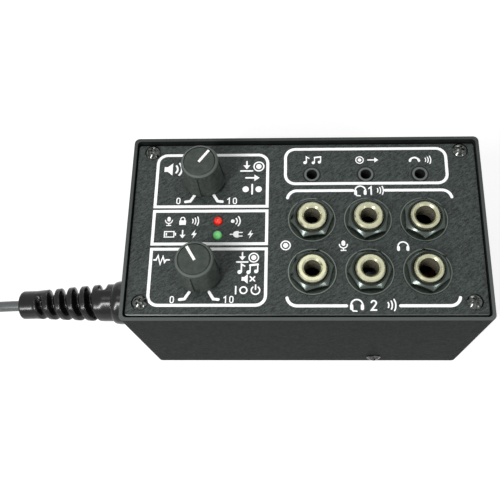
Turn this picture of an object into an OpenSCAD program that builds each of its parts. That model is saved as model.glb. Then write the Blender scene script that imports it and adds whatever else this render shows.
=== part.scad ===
// Portable two-place intercom box: a drafted tub closed by a recessed face panel that
// carries two push-and-turn dials, two lamps, six headset jacks and three small jacks.
// Frame: origin on the table under the middle of the case, +X to the right as the panel
// reads, +Y to the back, +Z up. Millimetres.

/* [Case] */
// Width of the case over its rim, left to right
case_w = 118; // [116:1:145]
// Depth of the case over its rim, front to back
case_d = 65.1; // [64:0.1:80]
// Height of the case from its base to its rim
case_h = 60.5; // [60:0.5:80]
// Draft of the side walls, which narrow towards the base, in degrees
draft = 0.9; // [0.5:0.1:1.5]
// Radius of the upright corners
corner_r = 1.8; // [1:0.1:3]
// Thickness of the side walls
wall = 2.6; // [2.4:0.1:3.2]
// Thickness of the base
floor_t = 2.5; // [2:0.1:4]
// Thickness of the thin rim that stands round the face panel
rim_wall = 1.1; // [0.8:0.1:1.4]
// Radius of the posts that the panel screws go into
post_r = 3.2; // [2.6:0.1:3.6]
// Length of those posts
post_len = 6; // [5.5:0.1:8]

/* [Face panel] */
// Thickness of the face panel
panel_t = 2; // [1.5:0.1:3]
// How far the panel lies below the rim
panel_recess = 1.1; // [0.5:0.1:1.6]
// Gap between the panel and the rim at the front and the back
panel_gap = 0.95; // [0.4:0.05:1.1]
// Gap between the panel and the rim at the sides
panel_side_gap = 0.35; // [0.2:0.05:1.1]
// Radius of the panel's corners
panel_r = 1; // [0.5:0.1:2]
// Bevel along the panel's top edge
panel_bevel = 0.25; // [0.1:0.05:0.5]
// Distance of the rear panel screws from the case's sides
rear_screw_side = 6.4; // [5.4:0.1:7]
// Distance of the rear panel screws from the case's back
rear_screw_back = 4.9; // [4.8:0.1:6.5]
// Distance of the front panel screws from the case's sides
front_screw_side = 6; // [5.4:0.1:7]
// Distance of the front panel screws from the case's front
front_screw_front = 6.3; // [5.2:0.1:6.5]
// Radius of a panel screw's head
screw_head_r = 2.6; // [2:0.1:2.8]
// Radius of a panel screw's shank
screw_r = 1.2; // [1:0.1:1.5]

/* [Dials] */
// Place of the dials' axes, left of the middle
dial_x = -34.1; // [-36:0.1:-33]
// Place of the rear dial's axis
dial_y = 16.9; // [15:0.1:18]
// Distance between the two dials' axes
dial_pitch = 33.6; // [32:0.1:35]
// Bearing of the rear dial's pointer, clockwise from straight back
rear_bearing = 37; // [-140:1:140]
// Bearing of the front dial's pointer, clockwise from straight back
front_bearing = -31; // [-140:1:140]
// Turn of the rear knob's flutes from its pointer
rear_flute_turn = -6; // [-45:1:45]
// Turn of the front knob's flutes from its pointer
front_flute_turn = 12; // [-45:1:45]
// Radius of a knob at its foot
knob_foot_r = 7; // [6.8:0.1:8]
// Radius of a knob at its top
knob_top_r = 5.9; // [5.6:0.1:7]
// Height of a knob from its foot to its top
knob_h = 12.1; // [11:0.1:16]
// Free height under a knob, which its push takes up
knob_lift = 1.8; // [1.7:0.1:2.5]
// How far a knob can be pushed in
knob_push = 1.5; // [1:0.1:1.5]
// Width of a flute down a knob's side
flute_w = 2; // [1:0.1:2.5]
// Depth of a flute
flute_depth = 0.45; // [0.2:0.05:0.5]
// Radius of the inlaid cap on a knob
cap_r = 5.1; // [4.5:0.1:5.2]
// Width of the pointer line
pointer_w = 0.85; // [0.5:0.05:1.2]
// Radius of a dial's shaft
shaft_r = 3; // [2.6:0.05:3.2]
// Radius of a dial's threaded neck
neck_r = 3.9; // [3.8:0.05:4]
// Outer radius of a dial's potentiometer
pot_r = 8.4; // [8.2:0.1:8.6]

/* [Headset jacks] */
// Place of the left column of jacks
jack_x = 2; // [1:0.1:3]
// Place of the rear row of jacks
jack_y = 2; // [1:0.1:2.5]
// Distance between the columns
jack_pitch_x = 18.4; // [18:0.05:19]
// Distance between the rows
jack_pitch_y = 18.15; // [17.5:0.05:19]
// Outer radius of a jack's threaded bushing
bushing_r = 4.76; // [4.5:0.01:5]
// Height of the bushing over the panel
bushing_h = 4.5; // [3.6:0.1:6]
// Bore radius of the talk and microphone jacks
mic_bore_r = 2.7; // [2.65:0.01:2.8]
// Bore radius of the earphone jacks
ear_bore_r = 3.25; // [3.2:0.01:3.35]
// Width of a jack nut across its flats
nut_af = 12.7; // [12:0.1:13]
// Thickness of a jack nut
nut_t = 2.5; // [1.8:0.1:2.6]
// Outer radius of a jack washer
washer_r = 7.8; // [7.4:0.05:8.2]
// Thickness of a jack washer
washer_t = 0.6; // [0.4:0.1:0.8]
// Depth of a jack's frame under the panel
jack_depth = 32; // [31:0.5:36]

/* [Small jacks and lamps] */
// Place of the left small jack
mini_x = 2.1; // [1.5:0.1:3]
// Place of the row of small jacks
mini_y = 18.8; // [18:0.1:19]
// Distance between the small jacks
mini_pitch = 18.2; // [17:0.1:19]
// Outer radius of a small jack's nose
mini_nose_r = 2.6; // [2.4:0.05:3]
// Bore radius of a small jack
mini_bore_r = 1.8; // [1.78:0.01:1.9]
// Place of the lamps, left of the middle
lamp_x = -29; // [-31:0.1:-28]
// Place of the rear lamp
lamp_y = 1.75; // [0.5:0.05:2]
// Distance between the lamps
lamp_pitch = 5; // [4.6:0.1:5.2]
// Radius of a lamp's dome
lamp_r = 1.45; // [1.3:0.05:1.6]

/* [Circuit board] */
// Clear height between the panel and the circuit board
board_gap = 14; // [13.5:0.1:16]
// Thickness of the circuit board
board_t = 1.6; // [1:0.1:2]

/* [Battery] */
// Length of the battery's can
battery_l = 45.5; // [44:0.5:46]
// Width of the battery
battery_w = 26; // [25:0.5:26.5]
// Thickness of the battery
battery_t = 17.5; // [16.5:0.5:17.5]
// Thickness of the sheet steel strap that holds the battery
strap_t = 1; // [0.6:0.1:1.2]
// Width of that strap
strap_w = 12; // [8:0.5:16]
// Place of the strap and its screw, right of the middle
strap_x = 25.5; // [24:0.1:27]
// Radius of the head of the strap's screw
strap_head_r = 2.6; // [2.4:0.1:2.8]
// Height of the strap's screw over the base
strap_screw_z = 7.5; // [7:0.1:9]

/* [Strain relief] */
// Distance of the lead's axis in front of the middle
lead_y = -22.3; // [-23:0.1:-20]
// Height of the lead's axis over the base
lead_z = 45.6; // [43:0.1:46]
// Radius of the strain relief's flange
flange_r = 7.3; // [6.5:0.1:7.4]
// Length of the flange and the smooth collar
collar_len = 8.7; // [8:0.1:14]
// Radius of the smooth collar
collar_r = 6.3; // [5.6:0.05:6.6]
// Length of the ribbed stretch
ribbed_len = 19.8; // [16:0.1:26]
// Distance from one turn of the rib to the next
rib_pitch = 4.25; // [4.1:0.05:5.5]
// Length of the end collar
tip_len = 9.5; // [4:0.1:12]
// Radius of the end collar
tip_r = 4.8; // [4:0.05:5]
// Angle by which the boot sags beyond its collar
boot_sag = 5.5; // [0:0.5:7]
// Radius of the neck that passes through the wall
relief_neck_r = 3.5; // [3:0.1:3.6]

/* [Cord] */
// Diameter of the main cord
cord_d = 3.6; // [3.3:0.1:3.7]
// Diameter of the two tails
tail_d = 2.6; // [2.2:0.1:2.8]
// Turns in the put-away coil
coil_turns = 7; // [5:1:8]
// Radius of the coil's outermost turn, at the middle of the cord
coil_r = 26.6; // [24:0.1:28]
// Distance from one turn to the next
coil_pitch = 3.9; // [3.8:0.1:4]
// Height from one layer of turns to the next
coil_rise = 3.9; // [3.8:0.1:4.2]
// Radius of a plug's barrel
barrel_r = 6.5; // [5.5:0.1:6.5]
// Length of a plug's barrel
barrel_len = 34; // [30:0.5:36]

/* [Hidden] */

// Small distances shared by the pieces
run_gap = 0.05;     // a shaft in its bearing
loose_gap = 0.3;    // pieces that pass each other
fit_gap = 0.1;      // a piece through a hole or over a thread
over = 1;           // how far a cutter runs past a face

// Heights
panel_top = case_h - panel_recess;
panel_low = panel_top - panel_t;
board_top = panel_low - board_gap;
board_low = board_top - board_t;

// Width and depth of the drafted case at a height, and its inner faces there
function outer_w(z) = case_w - 2 * (case_h - z) * tan(draft);
function outer_d(z) = case_d - 2 * (case_h - z) * tan(draft);
function inner_x(z) = outer_w(z) / 2 - wall;
function inner_y(z) = outer_d(z) / 2 - wall;

// Places on the panel
screw_places = [for (side = [-1, 1]) each [
    [side * (case_w / 2 - rear_screw_side), case_d / 2 - rear_screw_back],
    [side * (case_w / 2 - front_screw_side), front_screw_front - case_d / 2]
]];
rear_dial = [dial_x, dial_y];
front_dial = [dial_x, dial_y - dial_pitch];
jack_places = [for (row = [0, 1]) for (col = [0:2])
    [jack_x + col * jack_pitch_x, jack_y - row * jack_pitch_y]];
jack_bores = [mic_bore_r, mic_bore_r, ear_bore_r, mic_bore_r, mic_bore_r, ear_bore_r];
jack_turns = [7, 20, 30, 14, 2, 39];
screw_turns = [0, -30, 70, 40];
mini_places = [for (col = [0:2]) [mini_x + col * mini_pitch, mini_y]];
lamp_places = [[lamp_x, lamp_y], [lamp_x, lamp_y - lamp_pitch]];

// Dial heights, from the panel's top face
pot_washer_t = 0.5;
pot_nut_t = 1.8;
pot_nut_af = 9.6;
pot_neck_h = pot_washer_t + pot_nut_t + 0.9;
pot_plate_t = 2.2;
pot_cavity_top = -panel_t - pot_plate_t;
pot_cavity_h = 4.4;
pot_low = pot_cavity_top - pot_cavity_h;
pot_wall = 1.3;
rotor_hub_h = 3.1;
rotor_disc_t = 1.5;
rotor_hub_r = 4.2;
rotor_low = pot_low + loose_gap;
rotor_top = rotor_low + rotor_hub_h;
flat_half = 2.2;     // half the width across the shaft's two flats
stop_angle = 30;     // the fixed stop inside the potentiometer
arm_angle = 26;      // the rotor's arm, which meets that stop at both ends of its turn
round_low = rotor_top + knob_push + loose_gap;
plunger_r = 1.6;
plunger_low = pot_low - 2.2;
wafer_t = 1;
switch_side = 12;
knob_mouth_r = knob_foot_r - 1.15;
knob_low = knob_lift;
knob_top = knob_low + knob_h;
cap_t = 1.2;
shaft_top = knob_top - cap_t - 1.4;

// Battery
battery_z = floor_t + 0.4;
battery_y = -inner_y(strap_screw_z) + 4;
strap_front = -inner_y(floor_t) + 0.15;
strap_top = battery_z + battery_t + 0.3;

// Strain relief, along -X from the left wall
wall_x = -outer_w(lead_z + flange_r) / 2 - 0.02;
flange_len = 5.6;
shoulder_len = 2.4;
rib_start = wall_x - collar_len;
rib_phase = -2.15;
rib_tip_r = tip_r + 0.35;
core_r0 = 4.15;
core_r1 = 3.15;

// The cord's routes, from the strain relief down to the table, round the coil to the
// split, and from the split to the two plugs
lead_route = [
    [-96.77, -22.3, 42.79], [-102.45, -22.3, 42.24], [-109.6, -22.3, 41],
    [-116.6, -22.3, 38.7], [-123, -22.3, 35], [-128.8, -22.3, 29.9], [-134, -22.3, 24],
    [-138.9, -22.3, 17.8], [-143.9, -22.3, 11.8], [-149.3, -22.3, 6.8], [-154.8, -22.3, 3.5],
    [-159.4, -22.3, 2], [-163.2, -22.3, 1.8], [-166.4, -22.3, 1.8]
];
coil_at = [-170, 4.3];
split_route = [
    [-173.3, -22.3, 5.7], [-177.6, -22.3, 5.5], [-182.2, -22.3, 4.7], [-186, -22.3, 3.5],
    [-188.6, -22.3, 3.2], [-192, -22.3, 3.2]
];
split_x = [-212, -192];
mic_route = [
    [-212, -20.1, 3.2], [-215, -20.1, 3.2], [-220, -19.2, 2], [-224, -16, 1.4],
    [-226.6, -11, 1.3], [-227.8, -4.8, 1.3], [-228, 1.6, 1.3], [-227.4, 8, 1.4],
    [-225.4, 14, 2.6], [-222, 19.2, 5.1], [-218, 23.4, 8.4], [-213.6, 26.8, 11.7],
    [-208.6, 28.8, 13.8], [-205.2, 29, 14.1], [-203.5, 29, 14.1]
];
phone_route = [
    [-212, -24.5, 3.2], [-215, -24.5, 3.2], [-221, -23.8, 2], [-226, -21, 1.4],
    [-230, -16.4, 1.3], [-232.4, -10.6, 1.3], [-233.6, -4.2, 1.3], [-234, 2.4, 1.3],
    [-234, 9, 1.3], [-233.4, 15.6, 1.3], [-231.6, 22, 1.3], [-228.4, 28, 1.8],
    [-224, 33, 3], [-218.6, 36.8, 4.8], [-213, 39.2, 6.2], [-207.4, 39.8, 6.5],
    [-203.5, 39.8, 6.5]
];
mic_plug_at = [-203.5, 29, 14.1];
phone_plug_at = [-203.5, 39.8, 6.5];

// ---------------------------------------------------------------- shared shapes

// Upright block with rounded corners, centred on the Z axis
module plate(w, d, h, r) {
    translate([-w / 2 + r, -d / 2, 0]) cube([w - 2 * r, d, h]);
    translate([-w / 2, -d / 2 + r, 0]) cube([w, d - 2 * r, h]);
    for (x = [-1, 1], y = [-1, 1])
        translate([x * (w / 2 - r), y * (d / 2 - r), 0]) cylinder(r = r, h = h, $fn = 32);
}

// Block between two heights that keeps one distance inside the case's drafted outside
module drafted(low, high, inset, r) {
    slab = 0.02;
    hull() for (z = [low, high - slab])
        translate([0, 0, z])
            plate(outer_w(z) - 2 * inset, outer_d(z) - 2 * inset, slab, r);
}

// Pan head with a cross recess, on the plane z = 0, and its shank below
module pan_screw(head_r, head_h, shank_r, length) {
    dome = (head_r * head_r + head_h * head_h) / (2 * head_h) * 1.15;
    difference() {
        union() {
            intersection() {
                cylinder(r = head_r, h = head_h, $fn = 48);
                translate([0, 0, head_h - dome]) sphere(r = dome, $fn = 64);
            }
            translate([0, 0, -length]) cylinder(r = shank_r, h = length, $fn = 32);
        }
        for (a = [0, 90]) rotate([0, 0, a])
            translate([-head_r * 0.52, -head_r * 0.12, head_h * 0.4])
                cube([head_r * 1.04, head_r * 0.24, head_h]);
    }
}

// Hexagonal nut on the plane z = 0, with a flat facing -Y when turn is 0
module hex_nut(af, t, bore_r, turn) {
    difference() {
        intersection() {
            rotate([0, 0, turn]) cylinder(r = af / 2 / cos(30), h = t, $fn = 6);
            cylinder(r1 = af / 2 / cos(30) + t * 0.9, r2 = af / 2 * 1.03, h = t, $fn = 64);
        }
        translate([0, 0, -over]) cylinder(r = bore_r, h = t + 2 * over, $fn = 64);
    }
}

module ring(r_out, r_in, h) {
    difference() {
        cylinder(r = r_out, h = h, $fn = 64);
        translate([0, 0, -over]) cylinder(r = r_in, h = h + 2 * over, $fn = 64);
    }
}

function unit(v) = v / norm(v);
function tangent(p, i) = unit(p[min(i + 1, len(p) - 1)] - p[max(i - 1, 0)]);

// Closed tube with flat ends along points; side is a direction square to the whole route
module tube(p, r, sides, side) {
    n = len(p);
    rings = [for (i = [0:n - 1])
        let (t = tangent(p, i), u = unit(cross(side, t)), v = cross(t, u))
        for (k = [0:sides - 1])
            p[i] + r * (cos(360 * (k + 0.5) / sides) * u + sin(360 * (k + 0.5) / sides) * v)];
    skin = [for (i = [0:n - 2], k = [0:sides - 1])
        let (a = i * sides + k, b = i * sides + (k + 1) % sides)
        each [[a, a + sides, b], [b, a + sides, b + sides]]];
    ends = [for (k = [1:sides - 2]) each [[0, k, k + 1],
        [(n - 1) * sides, (n - 1) * sides + k + 1, (n - 1) * sides + k]]];
    polyhedron(points = rings, faces = concat(skin, ends), convexity = 10);
}

// ---------------------------------------------------------------- case and panel

module case_tub() {
    color([0.12, 0.12, 0.12]) difference() {
        union() {
            difference() {
                drafted(0, case_h, 0, corner_r);
                drafted(floor_t, panel_low + over, wall, corner_r);
            }
            for (p = screw_places) {
                web = [inner_x(panel_low) - abs(p[0]), inner_y(panel_low) - abs(p[1])];
                translate([p[0], p[1], panel_low - post_len])
                    cylinder(r = post_r, h = post_len, $fn = 48);
                translate([
                    p[0] > 0 ? p[0] - over : p[0] - web[0] - over,
                    p[1] > 0 ? p[1] - over : p[1] - web[1] - over,
                    panel_low - post_len
                ]) cube([web[0] + 2 * over, web[1] + 2 * over, post_len]);
            }
        }
        // Seat of the face panel inside the thin rim
        translate([0, 0, panel_low])
            plate(case_w - 2 * rim_wall, case_d - 2 * rim_wall, case_h,
                panel_r + min(panel_gap, panel_side_gap));
        // Pilot holes for the panel screws
        for (p = screw_places) translate([p[0], p[1], panel_low - post_len + over])
            cylinder(r = screw_r + run_gap, h = post_len, $fn = 32);
        // Hole for the strain relief's neck, in the left wall
        translate([wall_x - over, lead_y, lead_z]) rotate([0, 90, 0])
            cylinder(r = relief_neck_r + fit_gap, h = wall + 4 * over, $fn = 48);
        // Hole for the strap's screw, in the front wall
        translate([strap_x, -case_d / 2 - over, strap_screw_z]) rotate([-90, 0, 0])
            cylinder(r = 1.6, h = wall + 4 * over, $fn = 32);
    }
}

panel_w = case_w - 2 * (rim_wall + panel_side_gap);
panel_d = case_d - 2 * (rim_wall + panel_gap);

module face_panel() {
    color([0.2, 0.21, 0.21]) difference() {
        translate([0, 0, panel_low]) hull() {
            plate(panel_w, panel_d, panel_t - panel_bevel, panel_r);
            plate(panel_w - 2 * panel_bevel, panel_d - 2 * panel_bevel, panel_t,
                panel_r - panel_bevel);
        }
        translate([0, 0, panel_low - over]) {
            for (p = screw_places) translate(p)
                cylinder(r = screw_r + 0.2, h = panel_t + 2 * over, $fn = 32);
            for (p = [rear_dial, front_dial]) translate(p)
                cylinder(r = neck_r + fit_gap, h = panel_t + 2 * over, $fn = 64);
            for (p = jack_places) translate(p)
                cylinder(r = bushing_r + fit_gap, h = panel_t + 2 * over, $fn = 64);
            for (p = mini_places) translate(p)
                cylinder(r = mini_nose_r + fit_gap, h = panel_t + 2 * over, $fn = 48);
            for (p = lamp_places) translate(p)
                cylinder(r = lamp_r + fit_gap, h = panel_t + 2 * over, $fn = 48);
        }
    }
}

module panel_screws() {
    color([0.1, 0.1, 0.1]) for (i = [0:3])
        translate([screw_places[i][0], screw_places[i][1], panel_top])
            rotate([0, 0, screw_turns[i]]) pan_screw(screw_head_r, 1.55, screw_r, post_len - 1.5);
}

// ---------------------------------------------------------------- dials
// Each piece is drawn about its own axis with z = 0 on the panel's top face

module on_dial(place, bearing) {
    translate([place[0], place[1], panel_top]) rotate([0, 0, -bearing]) children();
}

// Round bar with two flats, from one height to another
module flatted(r, half, low, high) {
    translate([0, 0, low]) intersection() {
        cylinder(r = r, h = high - low, $fn = 64);
        translate([-half, -r - over, -over]) cube([2 * half, 2 * (r + over), high - low + 2 * over]);
    }
}

// Its side tapers from the neck under the rim to the shoulder over the foot
module knob(flute_turn) {
    neck = [knob_top_r + 0.25, knob_top - 1.2];
    shoulder = [knob_foot_r - 0.35, knob_low + 2.2];
    taper = atan((shoulder[0] - neck[0]) / (neck[1] - shoulder[1]));
    color([0.33, 0.35, 0.34]) difference() {
        rotate_extrude($fn = 96) polygon([
            [0, knob_low], [knob_foot_r, knob_low], [knob_foot_r, knob_low + 0.7], shoulder, neck,
            [knob_top_r, knob_top - 0.5], [knob_top_r - 0.45, knob_top - 0.1], [0, knob_top - 0.1]
        ]);
        // Hollow over the nut, and over the threaded neck
        translate([0, 0, knob_low - over])
            cylinder(
                r = knob_mouth_r,
                h = over + pot_washer_t + pot_nut_t + knob_push + loose_gap - knob_low,
                $fn = 64
            );
        cylinder(r = neck_r + loose_gap, h = pot_neck_h + knob_push + loose_gap, $fn = 64);
        // Seat of the shaft
        flatted(shaft_r + run_gap, flat_half + run_gap, 0, shaft_top + 0.2);
        // Seat of the cap
        translate([0, 0, knob_top - cap_t]) cylinder(r = cap_r + fit_gap, h = cap_t + over, $fn = 96);
        // Flutes down the side, from the rim through the foot
        for (a = [45:90:315]) rotate([0, 0, a + flute_turn])
            translate([0, neck[0] - flute_depth, neck[1]]) rotate([taper, 0, 0])
                translate([-flute_w / 2, 0, -2 * knob_h]) cube([flute_w, 4, 2 * knob_h]);
    }
}

module knob_cap() {
    color([0.36, 0.38, 0.37]) difference() {
        rotate_extrude($fn = 96) polygon([
            [0, knob_top - cap_t], [cap_r, knob_top - cap_t], [cap_r, knob_top - 0.35],
            [cap_r - 0.4, knob_top], [0, knob_top]
        ]);
        translate([-pointer_w / 2 - 0.02, -pointer_w / 2, knob_top - 0.5])
            cube([pointer_w + 0.04, cap_r + over, over]);
    }
}

module pointer() {
    color([0.95, 0.95, 0.95])
        translate([-pointer_w / 2, -pointer_w / 2 + 0.02, knob_top - 0.5])
            cube([pointer_w, cap_r + pointer_w / 2 - 0.3, 0.56]);
}

// Round inside the neck and the knob, flatted through the rotor, thin at the switch
module shaft() {
    color([0.7, 0.7, 0.68]) {
        difference() {
            translate([0, 0, round_low]) cylinder(r = shaft_r, h = shaft_top - round_low, $fn = 64);
            for (x = [-1, 1])
                translate([x * (flat_half + shaft_r) - shaft_r, -shaft_r - over, pot_neck_h + knob_push])
                    cube([2 * shaft_r, 2 * (shaft_r + over), shaft_top]);
        }
        flatted(shaft_r - fit_gap, flat_half - fit_gap, rotor_low, round_low);
        translate([0, 0, plunger_low]) cylinder(r = plunger_r, h = rotor_low - plunger_low, $fn = 32);
    }
}

module rotor() {
    arm_r = pot_r - pot_wall - loose_gap;
    color([0.85, 0.83, 0.75]) difference() {
        union() {
            translate([0, 0, rotor_low]) cylinder(r = rotor_hub_r, h = rotor_hub_h, $fn = 64);
            translate([0, 0, rotor_top - rotor_disc_t]) intersection() {
                cylinder(r = arm_r, h = rotor_disc_t, $fn = 64);
                linear_extrude(rotor_disc_t) polygon([
                    [0, 0], for (a = [-arm_angle / 2, arm_angle / 2]) 2 * arm_r * [sin(a), cos(a)]
                ]);
            }
        }
        flatted(shaft_r + run_gap, flat_half + run_gap, rotor_low - over, rotor_top + over);
    }
}

// Threaded neck, front plate and housing, with the fixed stop at the front of its cavity
module pot() {
    color([0.62, 0.62, 0.6]) difference() {
        union() {
            cylinder(r = neck_r, h = pot_neck_h, $fn = 64);
            translate([0, 0, -panel_t]) cylinder(r = neck_r, h = panel_t, $fn = 64);
            translate([0, 0, pot_low]) cylinder(r = pot_r, h = -panel_t - pot_low, $fn = 96);
        }
        difference() {
            translate([0, 0, pot_low - over])
                cylinder(r = pot_r - pot_wall, h = pot_cavity_h + over, $fn = 96);
            translate([0, 0, pot_low - 2 * over]) difference() {
                linear_extrude(pot_cavity_h + 4 * over) polygon([
                    [0, 0], for (a = [-stop_angle / 2, stop_angle / 2]) 2 * pot_r * [sin(a), -cos(a)]
                ]);
                translate([0, 0, -over])
                    cylinder(r = rotor_hub_r + loose_gap, h = pot_cavity_h + 6 * over, $fn = 64);
            }
        }
        translate([0, 0, pot_low - over])
            cylinder(r = shaft_r + run_gap, h = pot_neck_h - pot_low + 2 * over, $fn = 64);
    }
}

// Phenolic wafer that closes the housing, the push switch under it and its pins
module switch() {
    box_low = board_top - panel_top;
    color([0.15, 0.13, 0.1]) difference() {
        union() {
            translate([0, 0, pot_low - wafer_t]) cylinder(r = pot_r, h = wafer_t, $fn = 96);
            translate([-switch_side / 2, -switch_side / 2, box_low])
                cube([switch_side, switch_side, pot_low - wafer_t - box_low]);
        }
        // Room for the shaft's flatted end and for its tip when the knob is pushed in
        translate([0, 0, rotor_low - knob_push - loose_gap])
            cylinder(r = shaft_r + loose_gap, h = knob_push + loose_gap + over, $fn = 48);
        translate([0, 0, plunger_low - knob_push - loose_gap])
            cylinder(r = plunger_r + loose_gap, h = rotor_low - plunger_low, $fn = 32);
    }
}

module pot_washers() {
    color([0.7, 0.7, 0.68]) for (p = [rear_dial, front_dial])
        translate([p[0], p[1], panel_top]) ring(5.2, neck_r + fit_gap, pot_washer_t);
}

module pot_nuts() {
    color([0.7, 0.7, 0.68]) for (p = [rear_dial, front_dial])
        translate([p[0], p[1], panel_top + pot_washer_t])
            hex_nut(pot_nut_af, pot_nut_t, neck_r + run_gap, 0);
}

// ---------------------------------------------------------------- headset jacks
// Drawn about the bore with z = 0 on the panel's top face; the frame's leg is on the left

frame_t = 1.2;
frame_half = 5;
leg_x = -7.6;

module on_jack(i) {
    translate([jack_places[i][0], jack_places[i][1], panel_top]) children();
}

// Bushing with a chamfered mouth, shoulder plate and the leg that carries the contacts
module jack(bore_r) {
    plate_low = -panel_t - frame_t;
    color([0.85, 0.83, 0.72]) difference() {
        union() {
            rotate_extrude($fn = 96) polygon([
                [0, plate_low], [bushing_r, plate_low], [bushing_r, bushing_h - 0.5],
                [bushing_r - 0.45, bushing_h], [0, bushing_h]
            ]);
            translate([leg_x, -frame_half, plate_low])
                cube([-leg_x + bushing_r + 1.4, 2 * frame_half, frame_t]);
            translate([leg_x, -frame_half, -panel_t - jack_depth])
                cube([frame_t, 2 * frame_half, jack_depth]);
        }
        translate([0, 0, plate_low - over])
            cylinder(r = bore_r, h = bushing_h - plate_low + 2 * over, $fn = 64);
        translate([0, 0, bushing_h - 0.6])
            cylinder(r1 = bore_r, r2 = bore_r + 0.7, h = 0.7, $fn = 64);
        // Window in the leg
        translate([leg_x - over, -2.4, -panel_t - jack_depth + 9])
            cube([frame_t + 2 * over, 4.8, jack_depth - 17]);
    }
}

// Leaf spring, bent in one plane: the leaf stands at x, touches the plug at touch
module leaf(x, touch, low, high, half) {
    t = 0.4;
    s = sign(touch - x);
    translate([0, half, 0]) rotate([90, 0, 0]) linear_extrude(2 * half) polygon([
        [x - t / 2, low], [x + t / 2, low], [x + t / 2, high - 7],
        [touch - s * 0.2 + t / 2, high - 3], [x + s * 0.4 + t / 2, high],
        [x + s * 0.4 - t / 2, high], [touch - s * 0.2 - t / 2, high - 3], [x - t / 2, high - 7]
    ]);
}

// Stack of insulators at the end of the leg, with the ring leaf and the tip leaf in it
module contacts(bore_r) {
    low = -panel_t - jack_depth;
    stack_h = 5;
    leaf_x = bore_r + 1.7;
    color([0.75, 0.6, 0.3]) {
        translate([leg_x + frame_t, -4, low]) cube([-leaf_x - 0.2 - leg_x - frame_t, 8, stack_h]);
        translate([-leaf_x + 0.2, -4, low]) cube([2 * leaf_x - 0.4, 8, stack_h]);
        translate([leaf_x + 0.2, -4, low]) cube([1.4, 8, stack_h]);
        leaf(-leaf_x, -bore_r - 0.2, low - 3, low + 21, 2.2);
        leaf(leaf_x, bore_r - 0.4, low - 3, low + 14, 2.2);
    }
}

module jack_washers() {
    color([0.12, 0.12, 0.12]) for (i = [0:5]) on_jack(i)
        ring(washer_r, bushing_r + fit_gap, washer_t);
}

module jack_nuts() {
    color([0.1, 0.1, 0.1]) for (i = [0:5]) on_jack(i)
        translate([0, 0, washer_t]) hex_nut(nut_af, nut_t, bushing_r + run_gap, jack_turns[i]);
}

// ---------------------------------------------------------------- small jacks and lamps

// Moulded body on the board, with its nose flush in the panel
module small_jack(place) {
    body = [8, 9.5];
    color([0.08, 0.08, 0.08]) translate([place[0], place[1], 0]) difference() {
        union() {
            translate([-body[0] / 2, -body[1] / 2, board_top])
                cube([body[0], body[1], panel_low - board_top]);
            translate([0, 0, panel_low]) cylinder(r = mini_nose_r, h = panel_t + 0.2, $fn = 64);
        }
        translate([0, 0, board_top + 1])
            cylinder(r = mini_bore_r, h = board_gap + panel_t + over, $fn = 48);
    }
}

// Domed lamp with its flange under the panel and two legs down to the board
module lamp(place, tint) {
    color(tint) translate([place[0], place[1], 0]) {
        translate([0, 0, panel_low - 1]) cylinder(r = lamp_r + 0.35, h = 1, $fn = 48);
        translate([0, 0, panel_low]) cylinder(r = lamp_r, h = panel_t + 0.2, $fn = 48);
        translate([0, 0, panel_top + 0.2]) intersection() {
            sphere(r = lamp_r, $fn = 48);
            cylinder(r = lamp_r + over, h = lamp_r + over, $fn = 48);
        }
        for (x = [-1, 1]) translate([x * 1.27 - 0.25, -0.25, board_top])
            cube([0.5, 0.5, panel_low - 1 - board_top]);
    }
}

// ---------------------------------------------------------------- circuit board

board_left = -51.5;
board_right = 52;
board_mid = -9.5;
board_step = 12.6;
board_y = 27;
spacer_places = [[-48.6, 21], [-48.4, -14], [48.2, 19], [-14, -23.5]];
spacer_r = 2.6;

module circuit_board() {
    color([0.1, 0.35, 0.18]) difference() {
        union() {
            translate([board_left, -board_y, board_low])
                cube([board_mid - board_left, 2 * board_y, board_t]);
            translate([board_left, board_step, board_low])
                cube([board_right - board_left, board_y - board_step, board_t]);
        }
        for (p = spacer_places) translate([p[0], p[1], board_low - over])
            cylinder(r = 1.3, h = board_t + 2 * over, $fn = 32);
    }
}

module board_spacers() {
    color([0.75, 0.7, 0.5]) for (p = spacer_places) translate([p[0], p[1], board_top])
        difference() {
            cylinder(r = spacer_r, h = board_gap, $fn = 6);
            translate([0, 0, -over]) cylinder(r = 1.3, h = 7 + over, $fn = 32);
        }
}

module board_screws() {
    color([0.7, 0.7, 0.68]) for (p = spacer_places) translate([p[0], p[1], board_low])
        rotate([180, 0, 0]) pan_screw(2.2, 1.3, 1.2, board_t + 5);
}

// Two sockets with their chips, an audio transformer, three capacitors and a header
module board_parts() {
    color([0.15, 0.15, 0.16]) {
        for (y = [6, -6]) translate([-21.5, y - 4, board_top]) cube([10, 8, 4]);
        translate([-20, 15, board_top]) cube([9, 10, 8]);
        for (x = [-21, -13]) translate([x, -14, board_top]) cylinder(r = 2.5, h = 9, $fn = 32);
        translate([11.2, 19, board_top]) cylinder(r = 3.15, h = 10, $fn = 32);
        translate([26, 14, board_top]) cube([6, 10, 6]);
    }
}

// ---------------------------------------------------------------- battery

battery_x = strap_x - battery_l / 2;
stud_len = 2.8;

// Nine volt block lying on its side, its two studs towards the right wall
module battery() {
    color([0.25, 0.25, 0.27]) {
        translate([battery_x, battery_y, battery_z]) cube([battery_l, battery_w, battery_t]);
        for (y = [-6.35, 6.35])
            translate([battery_x + battery_l, battery_y + battery_w / 2 + y, battery_z + battery_t / 2])
                rotate([0, 90, 0]) cylinder(r = 2.8, h = stud_len, $fn = 32);
    }
}

module battery_snap() {
    color([0.1, 0.1, 0.1]) translate([battery_x + battery_l + 0.3, battery_y + 1, battery_z + 2])
        difference() {
            cube([4.4, battery_w - 2, battery_t - 4]);
            for (y = [-6.35, 6.35])
                translate([-over, battery_w / 2 - 1 + y, battery_t / 2 - 2]) rotate([0, 90, 0])
                    cylinder(r = 3.1, h = stud_len + 0.2 + over, $fn = 32);
        }
}

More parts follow.
